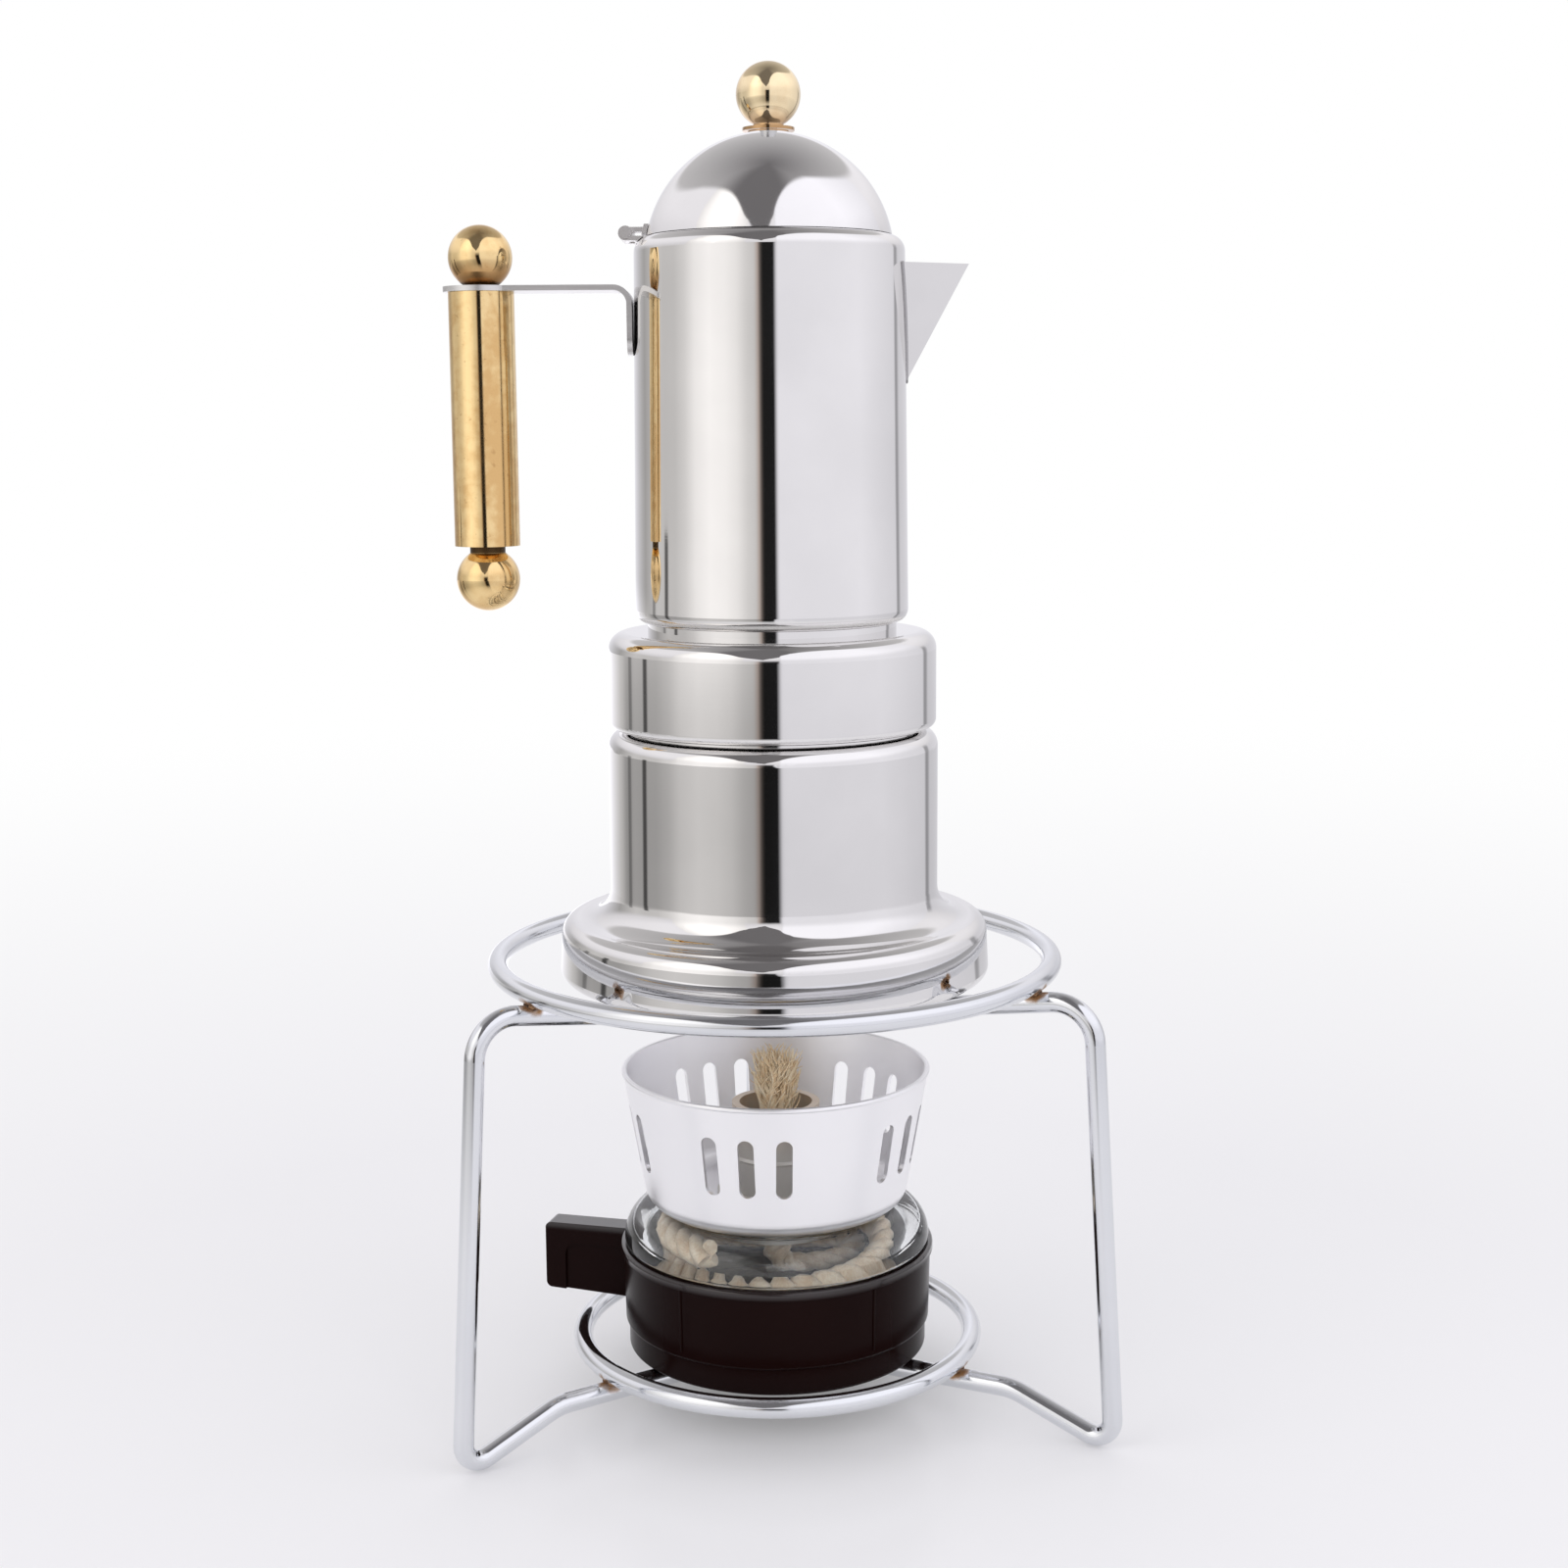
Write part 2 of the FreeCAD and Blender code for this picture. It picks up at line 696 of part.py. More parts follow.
def coffee_column():
    """Tapered tube that rises from the collar, closed above and open at two side ports."""
    foot = collar_top - COLLAR_TOP_T
    top = jug_z + COLUMN_H
    bore_r = column_top_r - COLUMN_WALL
    straight = jug_z + JUG_WALL
    column = lathe([
        (0, foot),
        (COLUMN_R, foot),
        (COLUMN_R, straight),
        (column_top_r, top, COLUMN_WALL),
        (0, top),
    ])
    bore = rod(bore_r, top - COLUMN_WALL - foot, V(0, 0, foot))
    port_z = top - COLUMN_WALL - 2 * COLUMN_PORT_R
    port = rod(COLUMN_PORT_R, 2 * COLUMN_R, V(0, -COLUMN_R, port_z), ALONG_Y)
    return column.cut([bore, port])


# Handle
def handle_bracket():
    """Flat strip with a round end, bent down against the jug."""
    tab_z = strip_top - TAB_H
    near_x = -(jug_r(tab_z) + WELD_GAP)
    far_x = near_x - STRIP_T
    strip = plate([
        (handle_x, strip_top - STRIP_T),
        (far_x, strip_top - STRIP_T, STRIP_BEND),
        (far_x, tab_z),
        (near_x, tab_z),
        (near_x, strip_top, STRIP_BEND + STRIP_T),
        (handle_x, strip_top),
    ], STRIP_W)
    corners = []
    for edge in strip.Edges:
        box = edge.BoundBox
        if box.XLength > STRIP_T / 2 and box.ZLength < 1e-6 and abs(box.ZMin - tab_z) < 1e-6:
            corners.append(edge)
    strip = strip.makeFillet(TAB_CORNER, corners)
    end = rod(STRIP_END_R, STRIP_T, V(handle_x, 0, strip_top - STRIP_T))
    hole = rod(ROD_R + WELD_GAP, 2 * STRIP_T, V(handle_x, 0, strip_top - 1.5 * STRIP_T))
    return strip.fuse(end).removeSplitter().cut(hole)


def handle_grip():
    grip = rod(GRIP_R, GRIP_L, V(handle_x, 0, grip_z))
    return grip.cut(rod(ROD_R + WELD_GAP, GRIP_L, V(handle_x, 0, grip_z)))


def handle_ball(z, outward, seat):
    """Ball on a short neck, cut flat at its seat towards the handle, with a blind hole for the rod."""
    centre = V(handle_x, 0, z)
    foot = centre - outward * seat
    ball = Part.makeSphere(BALL_R, centre).common(rod(BALL_R, 2 * BALL_R + seat, foot, outward))
    ball = ball.fuse(rod(BALL_NECK_R, seat, foot, outward)).removeSplitter()
    return ball.cut(rod(ROD_R + WELD_GAP, ROD_IN_BALL + WELD_GAP, foot, outward))


def handle_rod():
    low = grip_z - ROD_IN_BALL
    return rod(ROD_R, strip_top + ROD_IN_BALL - low, V(handle_x, 0, low))


# Lid
def lid_dome():
    """Domed shell with a flat inner lip and a skirt that drops into the jug's mouth."""
    centre = V(0, 0, dome_centre)
    above = rod(dome_r, dome_r * 2, V(0, 0, lid_z))
    dome = Part.makeSphere(dome_r, centre).cut(Part.makeSphere(dome_r - LID_WALL, centre)).common(above)
    skirt_r = mouth_r - SLIP_GAP
    lip = lathe([
        (skirt_r - LID_WALL, lid_z - SKIRT_H),
        (skirt_r, lid_z - SKIRT_H),
        (skirt_r, lid_z),
        (lid_r - LID_WALL / 2, lid_z),
        (lid_r - LID_WALL / 2, lid_z + LID_WALL),
        (skirt_r - LID_WALL, lid_z + LID_WALL),
    ])
    hole = rod(SCREW_R + WELD_GAP, dome_r, V(0, 0, lid_z))
    return dome.fuse(lip).removeSplitter().cut(hole)


def knob_flange():
    """Thin disc under the knob, on a short foot that is seated on the dome."""
    bore = SCREW_R + WELD_GAP
    disc_z = dome_top + KNOB_FLANGE_LIFT
    disc_top = disc_z + KNOB_FLANGE_T
    foot = lathe([
        (bore, dome_top - KNOB_FOOT_SINK),
        (KNOB_FOOT_R, dome_top - KNOB_FOOT_SINK),
        (KNOB_FOOT_R, disc_z),
        (KNOB_FLANGE_R, disc_z),
        (KNOB_FLANGE_R, disc_top),
        (KNOB_NECK_R, disc_top, KNOB_FLARE),
        (KNOB_NECK_R, dome_top + KNOB_NECK_H - WELD_GAP),
        (bore, dome_top + KNOB_NECK_H - WELD_GAP),
    ])
    return foot.cut(Part.makeSphere(dome_r + CURVE_GAP, V(0, 0, dome_centre)))


def knob_ball():
    centre = V(0, 0, knob_z)
    flat = V(0, 0, dome_top + KNOB_NECK_H)
    ball = Part.makeSphere(BALL_R, centre).common(rod(BALL_R, 2 * BALL_R, flat))
    return ball.cut(rod(SCREW_R + WELD_GAP, SCREW_IN_KNOB + WELD_GAP, flat))


def knob_screw():
    """Screw whose head bears on the inside of the dome."""
    inner_r = dome_r - LID_WALL
    head_top = dome_centre + math.sqrt(inner_r ** 2 - SCREW_HEAD_R ** 2) - CURVE_GAP
    tip = dome_top + KNOB_NECK_H + SCREW_IN_KNOB
    shank = rod(SCREW_R, tip - head_top, V(0, 0, head_top))
    return shank.fuse(rod(SCREW_HEAD_R, SCREW_HEAD_T, V(0, 0, head_top - SCREW_HEAD_T))).removeSplitter()


# Hinge between the lid and the jug, turning about Y
def knuckle(start, length):
    centre = V(hinge_x, start, hinge_z)
    return rod(KNUCKLE_R, length, centre, ALONG_Y)


def pin_bore():
    reach = LID_KNUCKLE_L + 2 * JUG_KNUCKLE_L
    return rod(HINGE_PIN_R + RUN_GAP, 2 * reach, V(hinge_x, -reach, hinge_z), ALONG_Y)


def lid_leaf():
    """Middle knuckle, tongue and a tab that lies on the dome."""
    centre = V(0, 0, dome_centre)
    outer = Part.makeSphere(dome_r + CURVE_GAP + HINGE_SHEET, centre)
    tab_box = Part.makeBox(dome_r, LEAF_W, LEAF_H, V(-dome_r - HINGE_SHEET, -LEAF_W / 2, hinge_z))
    tab = outer.common(tab_box)
    tongue_z = hinge_z + KNUCKLE_R - HINGE_SHEET
    tongue = Part.makeBox(-hinge_x, LID_KNUCKLE_L, HINGE_SHEET, V(hinge_x, -LID_KNUCKLE_L / 2, tongue_z))
    leaf = tab.fuse([tongue, knuckle(-LID_KNUCKLE_L / 2, LID_KNUCKLE_L)])
    leaf = leaf.cut(Part.makeSphere(dome_r + CURVE_GAP, centre))
    return leaf.removeSplitter().cut(pin_bore())


def hinge_bracket():
    """Two outer knuckles joined by a tongue on the jug's shoulder."""
    half = LID_KNUCKLE_L / 2 + HINGE_SIDE_GAP
    width = 2 * (half + JUG_KNUCKLE_L)
    tongue_z = hinge_z - KNUCKLE_R
    tongue = Part.makeBox(-hinge_x, width, HINGE_SHEET, V(hinge_x, -width / 2, tongue_z))
    slot_l = KNUCKLE_R + HINGE_SIDE_GAP
    slot = Part.makeBox(slot_l, 2 * half, HINGE_SHEET, V(hinge_x, -half, tongue_z))
    knuckles = [knuckle(half, JUG_KNUCKLE_L), knuckle(-half - JUG_KNUCKLE_L, JUG_KNUCKLE_L)]
    bracket = tongue.cut(slot).fuse(knuckles).removeSplitter()
    return bracket.cut([pin_bore(), jug_outside(CURVE_GAP)])


def hinge_pin():
    """Pin with a flat head at each end."""
    half = LID_KNUCKLE_L / 2 + HINGE_SIDE_GAP + JUG_KNUCKLE_L + WELD_GAP
    head_r = (HINGE_PIN_R + KNUCKLE_R) / 2
    head_t = HINGE_SHEET / 2
    pin = rod(HINGE_PIN_R, 2 * half, V(hinge_x, -half, hinge_z), ALONG_Y)
    heads = [rod(head_r, head_t, V(hinge_x, half, hinge_z), ALONG_Y),
             rod(head_r, head_t, V(hinge_x, -half - head_t, hinge_z), ALONG_Y)]
    return pin.fuse(heads).removeSplitter()


# Spirit burner
def burner_base():
    return lathe([
        (base_ring_bore_r, burner_z),
        (base_ring_r, burner_z, CUP_LIP),
        (base_ring_r, burner_z + BASE_RING_H),
        (base_ring_bore_r, burner_z + BASE_RING_H),
    ])


def burner_cup():
    """Moulded cup with a rim that stands proud and a flat handle lug with a recessed panel on each side."""
    inner_r = CUP_FOOT_R - CUP_WALL
    cup = lathe([
        (0, cup_z),
        (CUP_FOOT_R, cup_z, CUP_LIP),
        (cup_r, cup_top - CUP_RIM_H),
        (cup_r + CUP_RIM_OUT, cup_top - CUP_RIM_H, CUP_RIM_OUT / 2),
        (cup_r + CUP_RIM_OUT, cup_top, CUP_LIP),
        (inner_r, cup_top, CUP_LIP),
        (inner_r, cup_z + CUP_FLOOR),
        (0, cup_z + CUP_FLOOR),
    ])
    root_r = CUP_FOOT_R - CUP_WALL / 2
    lug_top = cup_top - LUG_DROP
    lug = plate([
        (root_r, cup_z + CUP_LIP),
        (lug_r, cup_z + CUP_LIP + LUG_TAPER, LUG_CORNER),
        (lug_r, lug_top, LUG_CORNER),
        (root_r, lug_top),
    ], LUG_T)
    panel = plate([
        (root_r, cup_z),
        (lug_r - LUG_PANEL_EDGE, cup_z),
        (lug_r - LUG_PANEL_EDGE, lug_top - LUG_PANEL_EDGE, 2 * LUG_CORNER),
        (root_r, lug_top - LUG_PANEL_EDGE),
    ], LUG_T)
    sides = [panel.copy(), panel.copy()]
    sides[0].translate(V(0, LUG_T - LUG_PANEL_DEPTH, 0))
    sides[1].translate(V(0, LUG_PANEL_DEPTH - LUG_T, 0))
    lug = lug.cut(sides)
    lug.rotate(ORIGIN, UP, BURNER_TURN)
    return cup.fuse(lug).removeSplitter()


def fuel_jar():
    """Squat glass jar whose broad rounded shoulder overhangs the cup's lip, with a round mouth."""
    wall = JAR_WALL
    shoulder_z = cup_top + SLIP_GAP
    return lathe([
        (0, jar_z),
        (jar_r, jar_z, JAR_FLOOR),
        (jar_r, shoulder_z),
        (jar_shoulder_r, shoulder_z, JAR_BEAD_EDGE),
        (jar_shoulder_r, jar_top, JAR_SHOULDER),
        (jar_mouth_r, jar_top),
        (jar_mouth_r, jar_top - wall),
        (jar_r - wall, jar_top - wall, JAR_ROOM_EDGE),
        (jar_r - wall, jar_z + JAR_FLOOR, wall),
        (0, jar_z + JAR_FLOOR),
    ])


def slot_cutter(angle, z):
    """Round-ended slot through one side of the shield."""
    reach = SHIELD_RIM_R * 1.2
    straight = SLOT_H - SLOT_W
    low = V(0, 0, z - straight / 2)
    high = V(0, 0, z + straight / 2)
    middle = Part.makeBox(reach, SLOT_W, straight, low - V(0, SLOT_W / 2, 0))
    ends = [rod(SLOT_W / 2, reach, low, ALONG_X), rod(SLOT_W / 2, reach, high, ALONG_X)]
    cutter = middle.fuse(ends)
    cutter.rotate(ORIGIN, UP, angle)
    return cutter


def wind_shield():
    """Tapered sheet bowl with a flat floor and groups of upright slots."""
    top = shield_z + SHIELD_H
    wall = SHIELD_WALL
    shield = lathe([
        (HOLDER_R + SLIP_GAP, shield_z),
        (SHIELD_FOOT_R, shield_z, SHIELD_EDGE),
        (SHIELD_RIM_R, top),
        (SHIELD_RIM_R - wall, top),
        (SHIELD_FOOT_R - wall, shield_z + wall, SHIELD_EDGE - wall),
        (HOLDER_R + SLIP_GAP, shield_z + wall),
    ])
    cutters = []
    for middle in SLOT_GROUP_ANGLES:
        for number in range(SLOTS_IN_GROUP):
            turn = middle + SLOT_PITCH * (number - (SLOTS_IN_GROUP - 1) / 2)
            cutters.append(slot_cutter(turn, shield_z + SLOT_RISE))
    return shield.cut(cutters)


def wick_holder():
    """Tube with a flange on the shield's floor, a raised bead and an inner sleeve round the wick."""
    bore = HOLDER_R - HOLDER_WALL
    grip_bore = WICK_D / 2 + RUN_GAP
    bead_z = flange_z + HOLDER_BEAD_RISE
    sleeve_top = holder_top - HOLDER_SLEEVE_DROP
    return lathe([
        (bore, jar_top - HOLDER_DIP),
        (HOLDER_R, jar_top - HOLDER_DIP),
        (HOLDER_R, flange_z),
        (holder_flange_r, flange_z),
        (holder_flange_r, flange_z + HOLDER_FLANGE_T),
        (HOLDER_R, flange_z + HOLDER_FLANGE_T),
        (HOLDER_R, bead_z),
        (HOLDER_R + HOLDER_BEAD, bead_z + HOLDER_BEAD),
        (HOLDER_R, bead_z + 2 * HOLDER_BEAD),
        (HOLDER_R, holder_top),
        (bore, holder_top),
        (bore, sleeve_top),
        (grip_bore, sleeve_top),
        (grip_bore, sleeve_top - HOLDER_SLEEVE_L),
        (bore, sleeve_top - HOLDER_SLEEVE_L),
    ])


def wick():
    """Cotton cord: straight through the holder, then loosely coiled on the jar's floor."""
    top = V(0, 0, holder_top + WICK_OUT)
    down = UP * -1
    turn_in = V(0, 0, coil_z + WICK_BEND)
    run = V(WICK_BEND, 0, coil_z)
    joining_r = (coil_r ** 2 - WICK_BEND ** 2) / (2 * coil_r)
    joining_angle = math.atan2(joining_r, WICK_BEND)
    middle = V(WICK_BEND + joining_r, joining_r, coil_z)
    stops = [(turn_in, down), (run, ALONG_X), (middle, ALONG_Y)]
    last = round(4 * COIL_TURNS)
    for quarter in range(last + 1):
        turn = joining_angle + math.pi / 2 * quarter
        point = V(coil_r * math.cos(turn), coil_r * math.sin(turn), coil_z + coil_pitch * quarter / 4)
        rate = coil_pitch / (2 * math.pi) if 0 < quarter < last else 0
        travel = V(-coil_r * math.sin(turn), coil_r * math.cos(turn), rate)
        stops.append((point, travel.normalize()))
    path = with_straight_ends(stops, top.z - turn_in.z, WICK_D)
    print("wick length", round(path.Length, 1), "least gap", round(least_gap(path, WICK_D), 2))
    return tube_along(path, WICK_D / 2)


def all_parts():
    """Every piece by its node's name."""
    parts = {
        "upper_ring": stand_ring(UPPER_RING_R, UPPER_RING_Z),
        "lower_ring": stand_ring(LOWER_RING_R, LOWER_RING_Z),
    }
    for number, name in enumerate(LEG_NAMES):
        parts[name] = stand_leg(FIRST_LEG_ANGLE + 360 / len(LEG_NAMES) * number)
    parts.update({
        "base_disc": base_disc(),
        "boiler_shell": boiler_shell(),
        "valve_body": valve_body(),
        "valve_nut": valve_nut(),
        "valve_pin": valve_pin(),
        "valve_spring": valve_spring(),
        "filter_basket": filter_basket(),
        "basket_sieve": basket_sieve(),
        "jug_shell": jug_shell(),
        "screw_collar": screw_collar(),
        "spout": spout(),
        "coffee_column": coffee_column(),
        "gasket": gasket(),
        "filter_plate": filter_plate(),
        "handle_bracket": handle_bracket(),
        "handle_grip": handle_grip(),
        "handle_rod": handle_rod(),
        "handle_top_ball": handle_ball(top_ball_z, UP, TOP_BALL_RISE),
        "handle_bottom_ball": handle_ball(bottom_ball_z, UP * -1, BOTTOM_BALL_DROP),
        "hinge_bracket": hinge_bracket(),
        "hinge_pin": hinge_pin(),
        "lid_dome": lid_dome(),
        "lid_leaf": lid_leaf(),
        "knob_flange": knob_flange(),
        "knob_ball": knob_ball(),
        "knob_screw": knob_screw(),
        "burner_base": burner_base(),
        "burner_cup": burner_cup(),
        "fuel_jar": fuel_jar(),
        "wind_shield": wind_shield(),
        "wick_holder": wick_holder(),
        "wick": wick(),
    })
    return parts


os.makedirs("parts", exist_ok=True)
for node, shape in all_parts().items():
    print(node, len(shape.Solids), shape.isValid(), round(shape.Volume, 1))
    shape.exportStep("parts/" + node + ".step")
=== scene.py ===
import math
import random

import bpy
from mathutils import Matrix, Vector


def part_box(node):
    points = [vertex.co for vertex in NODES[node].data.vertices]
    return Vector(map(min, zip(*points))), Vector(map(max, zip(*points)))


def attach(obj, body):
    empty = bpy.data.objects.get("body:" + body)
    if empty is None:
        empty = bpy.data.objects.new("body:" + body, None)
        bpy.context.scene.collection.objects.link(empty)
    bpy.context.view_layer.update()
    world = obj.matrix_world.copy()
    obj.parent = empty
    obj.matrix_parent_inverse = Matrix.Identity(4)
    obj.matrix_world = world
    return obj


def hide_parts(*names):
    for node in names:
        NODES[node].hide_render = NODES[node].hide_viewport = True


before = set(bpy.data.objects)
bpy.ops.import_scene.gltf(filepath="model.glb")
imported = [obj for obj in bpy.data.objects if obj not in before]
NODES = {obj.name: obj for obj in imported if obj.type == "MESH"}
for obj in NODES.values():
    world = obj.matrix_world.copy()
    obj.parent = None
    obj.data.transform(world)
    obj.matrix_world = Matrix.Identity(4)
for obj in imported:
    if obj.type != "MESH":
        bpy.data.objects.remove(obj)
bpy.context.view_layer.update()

MM = 0.001


def foot_of(node):
    """Lowest height of a frame node in millimetres."""
    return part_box(node)[0][2] / MM


def top_of(node):
    """Highest height of a frame node in millimetres."""
    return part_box(node)[1][2] / MM


# Sizes that the new pieces share with the frame, in millimetres
LEG_ANGLES = (214.0, 334.0, 94.0)
UPPER_WELD = (64.5, 103.77)
LOWER_WELD = (46.5, 12.29)
HEAT_NEAR = 2.2
HEAT_FAR = 4.6
BEAD_SIZE = (1.25, 0.95, 0.85)
BEAD_ASIDE = 1.26
BEAD_LUMPS = 0.22
HOLDER_TOP = top_of("wick_holder")
WICK_R = 3.5
WICK_LAY = 15.0
WICK_STEP = 1.4
WICK_DOWN = (64.0, 56.0, 46.0, 37.0)
WICK_TOP = top_of("wick")
COIL_R = 26.5
COIL_Z = 27.95
COIL_PITCH = 7.8
COIL_TURNS = 1.5
COIL_START = 56.4
COIL_STEPS = 22
TUFT_ROOT = 5.0
TUFT_YARNS = 26
TUFT_FIBRES = 420
TUFT_R = 6.4
YARN_TAPER = (1.0, 1.0, 1.0, 0.8, 0.3)
FIBRE_TAPER = (1.0, 1.0, 1.0, 0.8, 0.35)
WICK_BENDS = ((8.0, 0.0), (15.74, 2.82), (19.63, 8.93), (19.32, 16.16))
CUP_R = 36.4
CUP_DRAFT = 0.0212
HANDLED_LOW = 35.2
HANDLED_HIGH = 36.8
MOULD_LINE_ANGLES = (-127.0, -53.0)
MOULD_LINE_LOW = 20.5
MOULD_LINE_TOP = 35.4
MOULD_LINE_DEPTH = 0.7
MOULD_LINE_W = 0.55
MOULD_LINE_EDGE = 0.2
SHIELD_TOP = top_of("wind_shield")
SHIELD_RIM_R = 36.1
RIM_BEAD_R = 0.62
RIM_INSET = 0.35
NECK_BORE_R = 32.4
JUG_Z = foot_of("jug_shell")
JUG_R = 31.2
JUG_TAPER = 0.9
JUG_TOP = top_of("jug_shell")
JUG_H = JUG_TOP - JUG_Z
JUG_SHOULDER_DROP = 4.1
DOME_R = 28.0
DOME_DROP = 5.2
SPOUT_TOP = top_of("spout")
SPOUT_TIP_X = 44.7
SPOUT_HEIGHT = 26.0
SPOUT_SLANT = math.tan(math.radians(28.0))
SPOUT_ROOT_X = JUG_R - JUG_TAPER * (SPOUT_TOP - SPOUT_HEIGHT - JUG_Z) / JUG_H
KEEL_SLOPE = (SPOUT_TIP_X - SPOUT_ROOT_X) / SPOUT_HEIGHT
SEAM_R = 0.42
SEAM_LIFT = 0.05
SEAM_STEPS = 24
SEAM_ROUNDS = 40

# Heights of painted shade on the brass (darker towards the bottom of the knob and upper ball), of painted
# shadow where the balls meet the grip, and of the heat-browned tube, in millimetres
KNOB_PAINTED_SHADE = (299.0, 294.6)
UPPER_BALL_PAINTED_SHADE = (267.2, 263.0)
UPPER_BALL_PAINTED_SHADOW = (259.9, 260.4)
LOWER_BALL_PAINTED_SHADOW = (201.0, 203.0)
TUBE_CLEAN = 62.0
TUBE_BROWN = 80.0

# Finish of the pot
STEEL = (0.82, 0.81, 0.805)
MIRROR = 0.02

# Camera fitted to the photograph
CAMERA_PLACE = Vector((0.0, -0.5247, 0.2295))
CAMERA_PAN = 0.0047
CAMERA_PITCH = 0.1564
CAMERA_ROLL = -0.0068
CAMERA_LENS = 52.592
CAMERA_SENSOR = 36.0

# Lamps: name, place, width, power and colour
LAMPS = (
    ("left_key", (-0.9, -0.7, 0.9), 0.8, 2.0, (1.0, 0.96, 0.92)),
    ("right_key", (0.9, -0.6, 0.8), 0.9, 1.5, (0.95, 0.96, 1.0)),
    ("front_fill", (0.15, -1.2, 0.30), 0.7, 4.0, (1.0, 0.98, 0.96)),
)
LAMP_AIM = Vector((0, 0, 0.13))

# Floor of the stage, in metres
FLOOR_SIZE = 12.0
FLOOR_DROP = 0.0003

# Tints of the studio
WARM = (1.0, 0.977, 0.963)
COOL = (0.97, 0.96, 1.01)
BROWN = (1.0, 0.84, 0.76)
SOFT_BOX = (0.80, 0.785, 0.81, 1)
CEILING_DARK = (0.165, 0.157, 0.162, 1)
CEILING_PALE = (0.70, 0.685, 0.69, 1)

# Walls of the studio seen in the metal: bearing in degrees, brightness and tint
PANEL_PEAK = 1.25
STUDIO = (
    (-180, 0.95, COOL), (-158, 0.78, COOL), (-132, 0.42, WARM), (-110, 0.68, WARM), (-100, 0.64, WARM),
    (-87, 0.66, WARM), (-76, 0.80, WARM), (-66, 1.04, WARM), (-52, 1.18, WARM), (-38, 1.12, WARM),
    (-28, 1.00, WARM), (-20, 0.80, WARM), (-13, 0.70, WARM), (-10, 0.52, BROWN), (-8, 0.10, BROWN),
    (-6, 0.015, WARM), (3, 0.015, COOL), (6, 0.97, COOL), (80, 1.00, COOL), (100, 0.92, COOL),
    (128, 0.82, COOL), (131, 0.38, COOL), (134, 0.40, COOL), (138, 0.74, COOL), (165, 0.80, COOL),
    (180, 0.95, COOL),
)

# Edges of the table seen in the metal: bearing in degrees and darkness
TABLE_EDGES = ((-116.5, 0.5), (-98.5, 0.8))

# Dark fan of the ceiling above the camera: its bearing and lean, its width and how the ceiling tilts
FAN_BEARING = 0.045
FAN_LEAN = 0.22
FAN_WIDTH = 0.203
FAN_SOFT = 0.02
FAN_END = 0.13
CEILING_TILT_X = -0.07
CEILING_TILT_Y = 0.45
CEILING_EDGE = (0.80, 0.86)


class Value:
    """A shader value that takes part in Python expressions."""

    def __init__(self, nodes, socket):
        self.nodes = nodes
        self.socket = socket

    def maths(self, operation, first, second):
        return self.nodes.add("ShaderNodeMath", {"operation": operation}, {0: first, 1: second})

    def __add__(self, other):
        return self.maths("ADD", self, other)

    def __radd__(self, other):
        return self.maths("ADD", other, self)

    def __sub__(self, other):
        return self.maths("SUBTRACT", self, other)

    def __rsub__(self, other):
        return self.maths("SUBTRACT", other, self)

    def __mul__(self, other):
        return self.maths("MULTIPLY", self, other)

    def __rmul__(self, other):
        return self.maths("MULTIPLY", other, self)

    def __truediv__(self, other):
        return self.maths("DIVIDE", self, other)

    def __rtruediv__(self, other):
        return self.maths("DIVIDE", other, self)


class Nodes:
    """The node tree of a material or of the world."""

    def __init__(self, tree):
        self.tree = tree

    def add(self, kind, settings=None, sockets=None, output=0):
        """Adds a node; its settings come first, then the values or links of its sockets."""
        node = self.tree.nodes.new(kind)
        for name, value in (settings or {}).items():
            if name == "stops":
                ramp = node.color_ramp
                while len(ramp.elements) < len(value):
                    ramp.elements.new(0.5)
                for element, (place, colour) in zip(ramp.elements, value):
                    element.position = place
                    element.color = (*colour, 1.0)
            else:
                setattr(node, name, value)
        for name, value in (sockets or {}).items():
            if isinstance(value, Value):
                self.tree.links.new(value.socket, node.inputs[name])
            else:
                node.inputs[name].default_value = value
        return Value(self, node.outputs[output])

    def step(self, value, low, high):
        """Smooth step from 0 at low to 1 at high."""
        settings = {"interpolation_type": "SMOOTHSTEP"}
        sockets = {"Value": value, "From Min": low, "From Max": high, "To Min": 0.0, "To Max": 1.0}
        if low > high:
            sockets.update({"From Min": high, "From Max": low, "To Min": 1.0, "To Max": 0.0})
        return self.add("ShaderNodeMapRange", settings, sockets)

    def blend(self, factor, first, second):
        """Mix of two colours."""
        settings = {"data_type": "RGBA"}
        return self.add("ShaderNodeMix", settings, {0: factor, 6: first, 7: second}, 2)

    def parts_of(self, vector):
        """The X, Y and Z of a vector."""
        split = self.tree.nodes.new("ShaderNodeSeparateXYZ")
        self.tree.links.new(vector.socket, split.inputs[0])
        return [Value(self, socket) for socket in split.outputs]

    def distance(self, vector, point):
        settings = {"operation": "DISTANCE"}
        return self.add("ShaderNodeVectorMath", settings, {0: vector, 1: point}, "Value")

    def unsigned(self, value):
        return self.add("ShaderNodeMath", {"operation": "ABSOLUTE"}, {0: value})

    def root(self, value):
        return self.add("ShaderNodeMath", {"operation": "SQRT"}, {0: value})

    def bearing(self, x, y):
        """Angle round the upright axis: 0 is towards the camera, positive to its right."""
        return self.add("ShaderNodeMath", {"operation": "ARCTAN2"}, {0: x, 1: 0.0 - y})


